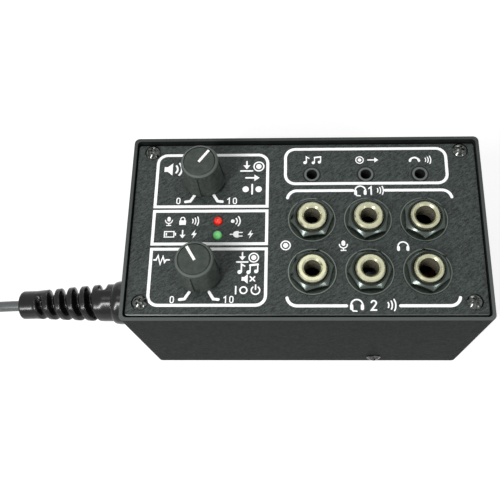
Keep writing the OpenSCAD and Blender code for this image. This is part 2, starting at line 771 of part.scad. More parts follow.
// Bent strip: down the front wall to the screw, over the battery and down to the base
module battery_strap() {
    back = battery_y + battery_w + 0.3;
    foot = 8;
    color([0.68, 0.69, 0.7]) difference() {
        translate([strap_x - strap_w / 2, 0, 0]) {
            translate([0, strap_front, floor_t + 0.1])
                cube([strap_w, strap_t, strap_top + strap_t - floor_t - 0.1]);
            translate([0, strap_front, strap_top])
                cube([strap_w, back + strap_t - strap_front, strap_t]);
            translate([0, back, floor_t]) cube([strap_w, strap_t, strap_top + strap_t - floor_t]);
            translate([0, back, floor_t]) cube([strap_w, foot, strap_t]);
        }
        translate([strap_x, strap_front - over, strap_screw_z]) rotate([-90, 0, 0])
            cylinder(r = 1.6, h = strap_t + 2 * over, $fn = 32);
    }
}

module strap_screw() {
    seat_y = -outer_d(strap_screw_z + strap_head_r) / 2 - 0.02;
    color([0.1, 0.1, 0.1]) translate([strap_x, seat_y, strap_screw_z]) rotate([90, 20, 0])
        pan_screw(strap_head_r, 1.5, 1.5, wall + strap_t + 2.8);
}

module strap_nut() {
    color([0.7, 0.7, 0.68]) translate([strap_x, strap_front + strap_t, strap_screw_z])
        rotate([-90, 0, 0]) hex_nut(5.5, 2.3, 1.5 + run_gap, 0);
}

// ---------------------------------------------------------------- strain relief

// The boot beyond the collar lies along -X from the origin. Point of its rib's edge at a
// turn, dx along the axis and r from it; the rib runs down the front towards the case
function rib_point(x, dx, r) =
    let (a = 360 * (x - rib_phase) / rib_pitch) [x + dx, -r * sin(a), r * cos(a)];

module rib() {
    steps = 24;
    from = -ribbed_len - 1.2;
    to = 1.2;
    n = ceil((to - from) / rib_pitch * steps);
    foot = 1.8;
    crest = 0.85;
    sink = 0.1;
    points = [for (i = [0:n])
        let (x = from + (to - from) * i / n, s = (x - from) / (to - from),
            r0 = core_r1 + (core_r0 - core_r1) * s - 0.5,
            r1 = rib_tip_r + (collar_r - rib_tip_r) * s - sink)
        each [rib_point(x, -foot, r0), rib_point(x, -crest, r1),
            rib_point(x, crest, r1), rib_point(x, foot, r0)]];
    skin = [for (i = [0:n - 1], k = [0:3])
        let (a = 4 * i + k, b = 4 * i + (k + 1) % 4) each [[a, b, a + 4], [b, b + 4, a + 4]]];
    ends = [[0, 2, 1], [0, 3, 2], [4 * n, 4 * n + 1, 4 * n + 2], [4 * n, 4 * n + 2, 4 * n + 3]];
    polyhedron(points = points, faces = concat(skin, ends), convexity = 10);
}

// Core and end collar of the boot
module boot() {
    boot_len = ribbed_len + tip_len;
    rotate([0, -90, 0]) rotate_extrude($fn = 64) polygon([
        [0, -2], [core_r0, -2], [core_r0, 0], [core_r1, ribbed_len],
        [rib_tip_r - 0.3, ribbed_len], [rib_tip_r, ribbed_len + 0.3],
        [tip_r, ribbed_len + tip_len / 2], [tip_r, boot_len - 0.55],
        [tip_r - 0.15, boot_len - 0.15], [tip_r - 0.55, boot_len], [0, boot_len]
    ]);
}

module strain_relief() {
    inside = wall + 4.2;
    color([0.07, 0.07, 0.07]) {
        translate([wall_x, lead_y, lead_z]) rotate([0, -90, 0]) rotate_extrude($fn = 64) polygon([
            [0, 0], [flange_r, 0],
            for (a = [0:15:90]) [
                collar_r + (flange_r - collar_r) * cos(a),
                flange_len - shoulder_len * (1 - sin(a))
            ],
            [collar_r, collar_len - 0.4], [collar_r - 0.4, collar_len], [0, collar_len]
        ]);
        translate([wall_x - 0.01, lead_y, lead_z]) rotate([0, 90, 0])
            cylinder(r = relief_neck_r, h = inside, $fn = 48);
        translate([rib_start, lead_y, lead_z]) rotate([0, -boot_sag, 0]) {
            boot();
            rib();
        }
    }
}

module strain_relief_nut() {
    color([0.1, 0.1, 0.1]) translate([-inner_x(lead_z) + 0.1, lead_y, lead_z]) rotate([0, 90, 0])
        hex_nut(9.5, 2.5, relief_neck_r + run_gap, 30);
}

// ---------------------------------------------------------------- cord

// Point of the coil after a number of turns: it spirals in on the table, climbs a layer
// in the half turn where it reverses, and spirals out again
function coil_point(t) =
    let (half = coil_turns / 2, climb = min(max((t - half + 0.25) * 2, 0), 1),
        r = coil_r - coil_pitch * (half - abs(t - half)), a = -90 - 360 * t)
    [coil_at[0] + r * cos(a), coil_at[1] + r * sin(a), cord_d / 2 + coil_rise * climb];

coil_steps = 24;
coil_line = [
    [coil_at[0] + cord_d, coil_at[1] - coil_r, cord_d / 2],
    for (i = [0:coil_turns * coil_steps]) coil_point(i / coil_steps),
    each split_route
];

// Least distance between the cord's own surfaces, turn against turn
coil_gap = min([for (i = [0:len(coil_line) - 1], j = [i + 8:1:len(coil_line) - 1])
    norm(coil_line[i] - coil_line[j])]) - cord_d;
echo(least_coil_gap = coil_gap);

module cord_lead() { color([0.2, 0.2, 0.2]) tube(lead_route, cord_d / 2, 8, [0, 1, 0]); }

module cord_coil() { color([0.2, 0.2, 0.2]) tube(coil_line, cord_d / 2, 6, [0, 0, 1]); }

// Moulded fork, one cord in and two out, flat on the table
module cord_split() {
    color([0.12, 0.12, 0.12]) hull() {
        translate([split_x[1] - 6, lead_y, 3.2]) rotate([0, 90, 0])
            cylinder(r = 2.6, h = 6, $fn = 32);
        for (y = [-2.2, 2.2]) translate([split_x[0], lead_y + y, 3.2]) rotate([0, 90, 0])
            cylinder(r = 2.9, h = 8, $fn = 32);
        translate([split_x[0] + 1, lead_y - 3, 0]) cube([15, 6, 1]);
    }
}

module mic_tail() { color([0.2, 0.2, 0.2]) tube(mic_route, tail_d / 2, 8, [0, 0, 1]); }

module phone_tail() { color([0.2, 0.2, 0.2]) tube(phone_route, tail_d / 2, 8, [0, 0, 1]); }

// Plug barrel along +X from the end of its tail
module barrel(at) {
    color([0.08, 0.08, 0.08]) translate(at) rotate([0, 90, 0]) rotate_extrude($fn = 64) polygon([
        [0, 0], [2.4, 0], [2.9, 0.4], [3.4, 8], [barrel_r - 0.6, 10], [barrel_r, 11],
        [barrel_r, barrel_len - 0.6], [barrel_r - 0.6, barrel_len], [0, barrel_len]
    ]);
}

// Contact pin of a three-part plug: sleeve, ring and tip, with a waist behind the tip; the
// ring is a little slimmer than the sleeve, which sets the fit
module plug_pin(at, r, length) {
    ring_r = r - 0.05;
    color([0.8, 0.75, 0.55]) translate(at) translate([barrel_len, 0, 0]) rotate([0, 90, 0])
        rotate_extrude($fn = 48) polygon([
            [0, 0], [r + 0.8, 0], [r + 0.8, 1.5], [r, 1.5], [r, length - 13.4],
            [r - 0.25, length - 13.4], [r - 0.25, length - 12.6], [ring_r, length - 12.6],
            [ring_r, length - 8.6], [r - 0.25, length - 8.6], [r - 0.25, length - 7.8],
            [ring_r, length - 7.8], [r - 0.9, length - 5.2], [r - 0.1, length - 3.4],
            [r - 0.4, length - 1.4], [0.7, length], [0, length]
        ]);
}

// ---------------------------------------------------------------- the assembly

case_tub();
face_panel();
panel_screws();
on_dial(rear_dial, rear_bearing) knob(rear_flute_turn);  // vol_knob
on_dial(rear_dial, rear_bearing) knob_cap();  // vol_knob_cap
on_dial(rear_dial, rear_bearing) pointer();  // vol_pointer
on_dial(rear_dial, rear_bearing) shaft();  // vol_shaft
on_dial(rear_dial, rear_bearing) rotor();  // vol_rotor
on_dial(rear_dial, 0) pot();  // vol_pot
on_dial(rear_dial, 0) switch();  // vol_switch
on_dial(front_dial, front_bearing) knob(front_flute_turn);  // sq_knob
on_dial(front_dial, front_bearing) knob_cap();  // sq_knob_cap
on_dial(front_dial, front_bearing) pointer();  // sq_pointer
on_dial(front_dial, front_bearing) shaft();  // sq_shaft
on_dial(front_dial, front_bearing) rotor();  // sq_rotor
on_dial(front_dial, 0) pot();  // sq_pot
on_dial(front_dial, 0) switch();  // sq_switch
pot_washers();
pot_nuts();
on_jack(0) jack(jack_bores[0]);  // pilot_ptt_jack
on_jack(1) jack(jack_bores[1]);  // pilot_mic_jack
on_jack(2) jack(jack_bores[2]);  // pilot_ear_jack
on_jack(3) jack(jack_bores[3]);  // copilot_ptt_jack
on_jack(4) jack(jack_bores[4]);  // copilot_mic_jack
on_jack(5) jack(jack_bores[5]);  // copilot_ear_jack
on_jack(0) contacts(jack_bores[0]);  // pilot_ptt_contacts
on_jack(1) contacts(jack_bores[1]);  // pilot_mic_contacts
on_jack(2) contacts(jack_bores[2]);  // pilot_ear_contacts
on_jack(3) contacts(jack_bores[3]);  // copilot_ptt_contacts
on_jack(4) contacts(jack_bores[4]);  // copilot_mic_contacts
on_jack(5) contacts(jack_bores[5]);  // copilot_ear_contacts
jack_washers();
jack_nuts();
small_jack(mini_places[0]);  // music_jack
small_jack(mini_places[1]);  // recorder_jack
small_jack(mini_places[2]);  // phone_jack
lamp(lamp_places[0], [0.85, 0.1, 0.08]);  // red_lamp
lamp(lamp_places[1], [0.1, 0.6, 0.25]);  // green_lamp
circuit_board();
board_spacers();
board_screws();
board_parts();
battery();
battery_snap();
battery_strap();
strap_screw();
strap_nut();
strain_relief();
strain_relief_nut();
cord_lead();
cord_coil();
cord_split();
mic_tail();
phone_tail();
plug_pin(mic_plug_at, 2.615, 28.5);  // mic_plug_pin
barrel(mic_plug_at);  // mic_plug_barrel
plug_pin(phone_plug_at, 3.175, 31);  // phone_plug_pin
barrel(phone_plug_at);  // phone_plug_barrel
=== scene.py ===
"""Looks of a portable two-place intercom box: its cords, printed marks, finishes and studio.

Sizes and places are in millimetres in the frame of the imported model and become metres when
they are used; those of the studio are in metres. Colours are written as they should look, as
sRGB from 0 to 255.
"""

import math

import bmesh
import bpy
from mathutils import Matrix, Vector

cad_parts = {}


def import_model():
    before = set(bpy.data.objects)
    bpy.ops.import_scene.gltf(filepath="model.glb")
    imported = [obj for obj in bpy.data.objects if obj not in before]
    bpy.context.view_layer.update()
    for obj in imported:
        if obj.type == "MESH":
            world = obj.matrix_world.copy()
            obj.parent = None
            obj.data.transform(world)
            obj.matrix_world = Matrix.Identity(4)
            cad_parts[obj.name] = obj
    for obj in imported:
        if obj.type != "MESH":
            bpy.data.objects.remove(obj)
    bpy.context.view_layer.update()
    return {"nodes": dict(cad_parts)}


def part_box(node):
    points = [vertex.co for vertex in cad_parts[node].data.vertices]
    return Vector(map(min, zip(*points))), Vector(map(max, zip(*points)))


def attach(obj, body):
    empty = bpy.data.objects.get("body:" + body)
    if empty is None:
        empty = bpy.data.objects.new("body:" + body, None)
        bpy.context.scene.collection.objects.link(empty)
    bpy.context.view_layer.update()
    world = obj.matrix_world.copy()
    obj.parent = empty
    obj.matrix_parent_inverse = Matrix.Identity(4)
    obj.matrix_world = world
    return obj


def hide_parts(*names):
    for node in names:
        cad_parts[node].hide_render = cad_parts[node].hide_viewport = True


MM = 0.001
BOX = "intercom"
RIM_TOP = 60.5
PANEL_TOP = 59.4
BUSHING_H = 4.5
LAMP_X = -29
WASHER_R = 7.8
WASHER_T = 0.6
# Each grid of jacks starts with the left one of its rear row, and has a pitch in X and in Y.
# The small jacks are one row, so their pitch in Y only has to be wider than the panel
JACK_AT = (2, 2)
JACK_PITCH = (18.4, 18.15)
SMALL_JACK_AT = (2.1, 18.8)
SMALL_JACK_PITCH = (18.2, 90)

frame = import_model()
nodes = frame["nodes"]


# ---------------------------------------------------------------- camera

CAMERA_AT = (-0.174, -92.953, 275.866)
CAMERA_YAW = math.radians(-4.479)
CAMERA_PITCH = math.radians(68.629)
CAMERA_ROLL = math.radians(-4.386)
CAMERA_LENS = 51.476
SENSOR = 36
CAMERA_SHIFT = -0.07


def make_camera():
    """A camera high over the front of the box, turned and rolled a little."""
    ahead = Vector((
        math.sin(CAMERA_YAW) * math.cos(CAMERA_PITCH),
        math.cos(CAMERA_YAW) * math.cos(CAMERA_PITCH),
        -math.sin(CAMERA_PITCH),
    ))
    level = Vector((math.cos(CAMERA_YAW), -math.sin(CAMERA_YAW), 0))
    rise = level.cross(ahead)
    right = level * math.cos(CAMERA_ROLL) + rise * math.sin(CAMERA_ROLL)
    up = rise * math.cos(CAMERA_ROLL) - level * math.sin(CAMERA_ROLL)
    data = bpy.data.cameras.new("camera")
    data.lens = CAMERA_LENS
    data.sensor_width = SENSOR
    data.sensor_fit = "HORIZONTAL"
    data.shift_x = CAMERA_SHIFT
    camera = bpy.data.objects.new("camera", data)
    place = Matrix((right, up, -ahead)).transposed().to_4x4()
    place.translation = Vector(CAMERA_AT) * MM
    camera.matrix_world = place
    bpy.context.scene.collection.objects.link(camera)
    bpy.context.scene.camera = camera


# ---------------------------------------------------------------- finishes


def shade(red, green, blue):
    """The linear colour of an sRGB one given from 0 to 255."""
    linear = [
        v / 12.92 if v <= 0.04045 else ((v + 0.055) / 1.055) ** 2.4
        for v in (red / 255, green / 255, blue / 255)
    ]
    return (*linear, 1)


def add_node(tree, kind, inputs=(), **settings):
    """A shader node with these settings, and its inputs, by name or number, linked or set."""
    made = tree.nodes.new("ShaderNode" + kind)
    for name, value in settings.items():
        setattr(made, name, value)
    for name, value in dict(inputs).items():
        if isinstance(value, bpy.types.NodeSocket):
            tree.links.new(value, made.inputs[name])
        else:
            made.inputs[name].default_value = value
    return made


# Numbers of a mixing node's sockets for colours
MIX_SHARE, MIX_FIRST, MIX_SECOND, MIX_RESULT = 0, 6, 7, 2


class Finish:
    """A material on one Principled shader, patterned over the piece's own place."""

    def __init__(self, name, colour, roughness, **sockets):
        self.material = bpy.data.materials.new(name)
        self.material.use_nodes = True
        self.tree = self.material.node_tree
        self.shader = self.tree.nodes["Principled BSDF"]
        self.shader.inputs["Base Color"].default_value = shade(*colour)
        self.shader.inputs["Roughness"].default_value = roughness
        for socket, value in sockets.items():
            self.shader.inputs[socket.replace("_", " ")].default_value = value
        self.place = self.add("TexCoord").outputs["Object"]

    def add(self, kind, inputs=(), **settings):
        """A node of this material."""
        return add_node(self.tree, kind, inputs, **settings)

    def drive(self, socket, source):
        """Lets a pattern set one socket of the shader."""
        self.tree.links.new(source, self.shader.inputs[socket])

    def noise(self, grain, detail=3, stretch=(1, 1, 1), sharpness=0.55, slant=0):
        """Noise with a grain in millimetres, turned about Z by the slant, then stretched."""
        turn = (0, 0, math.radians(slant))
        turned = self.add("Mapping", {"Vector": self.place, "Rotation": turn}).outputs[0]
        place = self.add("Mapping", {"Vector": turned, "Scale": stretch}).outputs[0]
        looks = {"Scale": 1 / (grain * MM), "Detail": detail, "Roughness": sharpness}
        return self.add("TexNoise", {"Vector": place, **looks}).outputs["Fac"]

    def bands(self, pitch, axis="Z"):
        """Waves with this pitch in millimetres along an axis."""
        inputs = {"Vector": self.place, "Scale": math.pi / 10 / (pitch * MM)}
        return self.add("TexWave", inputs, bands_direction=axis).outputs["Fac"]

    def cells(self, grain):
        """Distance from the middle of each of many small cells."""
        inputs = {"Vector": self.place, "Scale": 1 / (grain * MM)}
        return self.add("TexVoronoi", inputs).outputs["Distance"]

    def span(self, source, low, high, start=0.3, end=0.7):
        """A pattern's stretch between start and end, spread from low to high."""
        limits = {"From Min": start, "From Max": end, "To Min": low, "To Max": high}
        return self.add("MapRange", {"Value": source, **limits}).outputs["Result"]

    def along(self, axis, start, end):
        """Rises from 0 to 1 along an axis, between two places in millimetres."""
        place = self.add("SeparateXYZ", {"Vector": self.place}).outputs[axis]
        return self.span(place, 0, 1, start * MM, end * MM)

    def facing(self, axis, start, end):
        """Rises from 0 to 1 as the surface turns to face along an axis."""
        normal = self.add("TexCoord").outputs["Normal"]
        part = self.add("SeparateXYZ", {"Vector": normal}).outputs[axis]
        return self.span(part, 0, 1, start, end)

    def away(self, at, pitch, start, end):
        """Rises from 0 to 1 between two radii round the nearest place of a grid."""
        parts = self.add("SeparateXYZ", {"Vector": self.place}).outputs
        offsets = {}
        for axis, middle, step in zip("XY", at, pitch):
            limits = {1: (middle + step / 2) * MM, 2: (middle - step / 2) * MM}
            near = self.add("Math", {0: parts[axis], **limits}, operation="WRAP").outputs[0]
            offset = self.add("Math", {0: near, 1: middle * MM}, operation="SUBTRACT")
            offsets[axis] = offset.outputs[0]
        flat = self.add("CombineXYZ", offsets).outputs[0]
        radius = self.add("VectorMath", {0: flat}, operation="LENGTH").outputs["Value"]
        return self.span(radius, 0, 1, start * MM, end * MM)

    def both(self, *masks):
        """The product of several patterns."""
        total = masks[0]
        for mask in masks[1:]:
            total = self.add("Math", {0: total, 1: mask}, operation="MULTIPLY").outputs[0]
        return total

    def colour(self, source, first, second, start=0.3, end=0.7):
        """Colours the surface from first to second as the pattern rises."""
        made = self.add("ValToRGB", {"Fac": source})
        for stop, position, colour in zip(made.color_ramp.elements, (start, end), (first, second)):
            stop.position = position
            stop.color = shade(*colour)
        self.drive("Base Color", made.outputs["Color"])

    def tint(self, mask, first, second=None, across=0):
        """Turns the colour to another where the mask is 1, or to a blend of two."""
        before = self.shader.inputs["Base Color"].links[0].from_socket
        colours = {MIX_FIRST: shade(*first), MIX_SECOND: shade(*(second or first))}
        blend = self.add("Mix", {MIX_SHARE: across, **colours}, data_type="RGBA")
        choice = {MIX_SHARE: mask, MIX_FIRST: before, MIX_SECOND: blend.outputs[MIX_RESULT]}
        mixed = self.add("Mix", choice, data_type="RGBA")
        self.drive("Base Color", mixed.outputs[MIX_RESULT])

    def gloss(self, source, low, high):
        """Roughness from low to high as the pattern rises."""
        self.drive("Roughness", self.span(source, low, high))

    def bump(self, source, depth, strength):
        """Raises the surface by the pattern, this many millimetres deep."""
        inputs = {"Height": source, "Strength": strength, "Distance": depth * MM}
        self.drive("Normal", self.add("Bump", inputs).outputs["Normal"])


# Where the surfaces carry painted highlights, painted shade and other marks, each from its start to
# its full strength
RIM_HIGHLIGHT = (0.5, 0.3)  # below the top of the rim
BACK_TO_FRONT = (30, -30)
PANEL_EDGE_HIGHLIGHT_FADE = (-50, -8)
SMALL_ROW = (-6, 49)
SMALL_ROW_FADE = 1
HOLE_SHADE_R = (3.2, 2.95)
MOUTH_INNER_R = (1.8, 1.95)
MOUTH_OUTER_R = (2.6, 2.45)
WASHER_HIGHLIGHT_R = (WASHER_R - 0.35, WASHER_R - 0.2)
BORE_SHADE = (0.7, 2)  # below the mouth of the bushing
LENS_LIT = (LAMP_X - 1.2, LAMP_X + 0.8)
BATTERY_END = (36, 36.2)


def case_plastic():
    """Black moulded plastic with a fine sand texture, and a painted highlight along the top of the
    rim that grows brighter towards the front.
    """
    made = Finish("case_plastic", (34, 36, 36), 0.6, Specular_IOR_Level=0.02)
    made.colour(made.noise(3, 4), (28, 30, 30), (37, 39, 39))
    # A painted highlight pales the top of the rim, brighter towards the front
    top = made.along("Z", *(RIM_TOP - depth for depth in RIM_HIGHLIGHT))
    front = made.along("Y", *BACK_TO_FRONT)
    made.tint(made.both(top, made.facing("Z", 0.5, 0.8)), (66, 71, 69), (86, 91, 89), front)
    made.gloss(made.noise(0.9, 3), 0.5, 0.66)
    made.bump(made.noise(0.35, 2), 0.02, 0.5)
    return made


def panel_finish():
    """Black panel, finely mottled, with a painted highlight along its front edge, brightest at the
    left, and painted shade round its small holes.
    """
    made = Finish("panel_finish", (50, 56, 54), 0.5, Specular_IOR_Level=0.2)
    mottle = made.both(
        made.noise(0.35, 4, sharpness=0.75), made.noise(0.8, 3, (0.5, 1.4, 1), 0.75, -35)
    )
    made.colour(mottle, (18, 23, 21), (77, 85, 82), 0.14, 0.4)
    # A painted highlight pales the front edge, brightest at the left
    edge = made.both(made.facing("Y", -0.3, -0.6), made.facing("Z", 0.3, 0.5))
    made.tint(edge, (180, 184, 182), (104, 109, 107), made.along("X", *PANEL_EDGE_HIGHLIGHT_FADE))
    # Painted shade darkens the panel round each small jack hole
    hole_shade = made.away(SMALL_JACK_AT, SMALL_JACK_PITCH, *HOLE_SHADE_R)
    left, right = SMALL_ROW
    row = made.both(
        made.along("X", left, left + SMALL_ROW_FADE), made.along("X", right, right - SMALL_ROW_FADE)
    )
    made.tint(made.both(hole_shade, row), (24, 27, 26))
    made.gloss(made.noise(0.6, 3), 0.36, 0.6)
    made.bump(made.noise(0.45, 4, sharpness=0.7), 0.05, 0.7)
    return made


def ink():
    """White printed ink with a slight unevenness."""
    made = Finish("panel_ink", (248, 248, 248), 0.5, Specular_IOR_Level=0.2)
    made.colour(made.noise(0.8, 3), (249, 250, 251), (255, 255, 255))
    made.bump(made.noise(0.3, 2), 0.004, 0.4)
    return made


def black_screw():
    """Black oxide on steel, rubbed shinier in places."""
    made = Finish("black_screw", (80, 82, 80), 0.2, Metallic=1)
    made.colour(made.noise(0.8, 3), (44, 46, 44), (98, 100, 98), 0.4, 0.6)
    made.gloss(made.noise(0.5, 3), 0.1, 0.24)
    made.bump(made.noise(0.6, 2), 0.015, 0.5)
    return made


def black_nut():
    """Black plated hexagonal nuts, with a painted highlight on their chamfers."""
    made = Finish("black_nut", (52, 57, 53), 0.24, Metallic=1)
    made.colour(made.noise(1.5, 3), (38, 43, 39), (52, 58, 54))
    # The paler chamfers are a painted highlight
    made.tint(made.both(made.facing("Z", 0.95, 0.9), made.facing("Z", 0.6, 0.75)), (78, 85, 81))
    made.gloss(made.noise(0.7, 3), 0.18, 0.3)
    made.bump(made.noise(0.5, 3), 0.006, 0.4)
    return made


def black_washer():
    """Black plated washers, duller than the nuts, with a painted highlight round their edges."""
    made = Finish("black_washer", (50, 55, 51), 0.34, Metallic=1)
    made.colour(made.noise(1.2, 3), (40, 45, 41), (56, 62, 58))
    # The paler ring round each washer's edge is a painted highlight
    made.tint(made.away(JACK_AT, JACK_PITCH, *WASHER_HIGHLIGHT_R), (104, 112, 106))
    made.gloss(made.noise(0.7, 3), 0.28, 0.42)
    made.bump(made.noise(0.5, 3), 0.008, 0.4)
    return made


def nickel():
    """Bright nickel with turning marks."""
    made = Finish("nickel", (205, 202, 192), 0.2, Metallic=1)
    made.colour(made.noise(1, 3), (190, 187, 176), (218, 216, 207))
    made.gloss(made.noise(0.5, 3), 0.14, 0.3)
    made.bump(made.bands(0.25), 0.004, 0.3)
    return made


def jack_nickel():
    """Warm nickel on the jack bushings, cut with a fine thread, darkened down the bore by painted
    shade and less metallic there.
    """
    made = Finish("jack_nickel", (184, 184, 152), 0.28, Metallic=1)
    made.colour(made.noise(1.2, 3), (176, 176, 147), (190, 190, 163))
    # The darker colour down the bore is painted shade
    depth = made.along("Z", *(PANEL_TOP + BUSHING_H - below for below in BORE_SHADE))
    made.tint(depth, (120, 116, 102))
    made.drive("Metallic", made.span(depth, 1, 0.3, 0, 1))
    made.gloss(made.noise(1.5, 2), 0.25, 0.3)
    thread = made.both(made.bands(0.8), made.facing("Z", 0.7, 0.3))
    made.bump(thread, 0.1, 0.7)
    return made


def knob_soft():
    """Soft-touch grey-black plastic, with a painted highlight on the faces that look up."""
    made = Finish("knob_soft", (58, 63, 59), 0.6, Specular_IOR_Level=0.2)
    made.colour(made.noise(1.2, 4), (49, 55, 51), (65, 71, 67), 0.38, 0.62)
    # The paler faces that look up are a painted highlight
    made.tint(made.facing("Z", 0.4, 0.7), (86, 92, 88))
    made.gloss(made.noise(0.7, 3), 0.5, 0.66)
    made.bump(made.noise(0.3, 3), 0.012, 0.5)
    return made


def knob_cap():
    """The inlaid cap, a little paler and smoother."""
    made = Finish("knob_cap", (60, 66, 62), 0.55, Specular_IOR_Level=0.2)
    made.colour(made.noise(1.4, 4), (52, 58, 54), (64, 70, 66), 0.38, 0.62)
    made.gloss(made.noise(0.7, 3), 0.46, 0.62)
    made.bump(made.noise(0.35, 3), 0.01, 0.5)
    return made


def pointer_white():
    """White inlay of a pointer."""
    made = Finish("pointer_white", (246, 246, 242), 0.5, Specular_IOR_Level=0.2)
    made.colour(made.noise(0.7, 3), (244, 244, 240), (253, 253, 250))
    made.bump(made.noise(0.4, 2), 0.006, 0.4)
    return made


def lens(name, dark, main, bright):
    """Domed tinted lens with a faint painted glow, painted shade round its foot and painted light
    at its right.
    """
    # The emission is a painted glow
    made = Finish(name, main, 0.07, Specular_IOR_Level=0.55, Emission_Strength=0.35)
    made.shader.inputs["Emission Color"].default_value = shade(*main)
    # The brighter right side is painted light
    made.colour(made.along("X", *LENS_LIT), main, bright, 0.35, 0.8)
    # The darker foot is painted shade
    made.tint(made.facing("Z", 0.45, 0.1), dark)
    made.gloss(made.noise(0.5, 2), 0.04, 0.1)
    made.bump(made.noise(0.6, 2), 0.004, 0.3)
    return made


def relief_rubber():
    """Glossy black moulded rubber, for the strain relief and the cord's split."""
    made = Finish("relief_rubber", (7, 8, 7), 0.22, Specular_IOR_Level=0.33)
    made.colour(made.noise(2, 3), (3, 4, 3), (8, 9, 8))
    made.gloss(made.noise(1.2, 3), 0.18, 0.24)
    made.bump(made.noise(4, 2), 0.008, 0.1)
    return made


def cord_jacket():
    """Dark grey jacket with the faint lay of the wires under it."""
    made = Finish("cord_jacket", (84, 88, 88), 0.4, Specular_IOR_Level=0.35)
    made.colour(made.noise(2.5, 4), (74, 79, 79), (90, 95, 95))
    made.gloss(made.noise(0.8, 3), 0.28, 0.42)
    made.bump(made.noise(1.4, 3), 0.04, 0.35)
    return made


def plug_metal():
    """Polished brass-nickel contacts of a plug."""
    made = Finish("plug_metal", (214, 204, 168), 0.16, Metallic=1)
    made.colour(made.noise(1.5, 3), (204, 192, 152), (224, 216, 186))
    made.gloss(made.noise(0.6, 3, (0.2, 1, 1)), 0.1, 0.24)
    made.bump(made.noise(0.3, 2, (0.1, 1, 1)), 0.003, 0.4)
    return made


def plug_barrel():
    """Black moulded barrel with fine grip lines round it."""
    made = Finish("plug_barrel", (32, 32, 32), 0.35)
    made.colour(made.noise(1.5, 3), (24, 24, 24), (40, 40, 40))
    made.gloss(made.noise(0.7, 3), 0.28, 0.46)
    made.bump(made.bands(1.6, "X"), 0.15, 0.7)
    return made


def moulded_black(name):
    """Plain moulded black plastic, for the small jacks and the parts inside."""
    made = Finish(name, (30, 31, 31), 0.45)
    made.colour(made.noise(1.2, 3), (22, 23, 23), (38, 39, 39))
    made.gloss(made.noise(0.6, 3), 0.35, 0.55)
    made.bump(made.noise(0.3, 2), 0.01, 0.5)
    return made


def small_jack():
    """Black moulded small jacks, paler on the top of a ring round each mouth."""
    made = moulded_black("small_jack_black")
    inner = made.away(SMALL_JACK_AT, SMALL_JACK_PITCH, *MOUTH_INNER_R)
    outer = made.away(SMALL_JACK_AT, SMALL_JACK_PITCH, *MOUTH_OUTER_R)
    made.tint(made.both(inner, outer, made.facing("Z", 0.7, 0.9)), (82, 90, 87))
    return made


def steel():
    """Drawn steel sheet and screws."""
    made = Finish("steel", (190, 191, 192), 0.3, Metallic=1)
    made.colour(made.noise(2, 4, (0.2, 1, 1)), (174, 175, 177), (204, 205, 206))
    made.gloss(made.noise(0.6, 3, (0.15, 1, 1)), 0.22, 0.42)
    made.bump(made.noise(0.25, 3, (0.08, 1, 1)), 0.004, 0.5)
    return made


def brass(name, dark, bright):
    """Brass with a slight tarnish."""
    made = Finish(name, bright, 0.28, Metallic=1)
    made.colour(made.noise(2.5, 4), dark, bright)
    made.gloss(made.noise(0.8, 3), 0.2, 0.42)
    made.bump(made.noise(0.4, 2), 0.005, 0.4)
    return made


def pot_metal():
    """Dull zinc cans of the potentiometers."""
    made = Finish("pot_metal", (168, 167, 162), 0.4, Metallic=0.9)
    made.colour(made.noise(2, 4), (150, 149, 144), (182, 181, 176))
    made.gloss(made.noise(0.7, 3), 0.3, 0.52)
    made.bump(made.bands(0.6), 0.03, 0.4)
    return made


def rotor_plastic():
    """Natural nylon rotors."""
    made = Finish("rotor_plastic", (226, 220, 200), 0.45, Subsurface_Weight=0.1)
    made.colour(made.noise(2, 3), (216, 209, 188), (232, 227, 209))
    made.bump(made.noise(0.6, 2), 0.01, 0.4)
    return made


def board_green():
    """Green solder mask with the copper tracks showing through."""
    made = Finish("board_green", (30, 92, 52), 0.3)
    made.colour(made.cells(4), (22, 70, 40), (40, 112, 62), 0.3, 0.34)
    made.gloss(made.noise(1.5, 3), 0.22, 0.4)
    made.bump(made.cells(4), 0.03, 0.5)
    return made


def battery_case():
    """Printed tin of a plain battery: a dark body with a copper-coloured end."""
    made = Finish("battery_case", (52, 54, 60), 0.32, Metallic=0.6)
    made.colour(made.along("X", *BATTERY_END), (46, 48, 54), (178, 108, 62), 0.45, 0.55)
    made.gloss(made.noise(1.2, 3), 0.26, 0.42)
    made.bump(made.noise(1.5, 3), 0.02, 0.4)
    return made


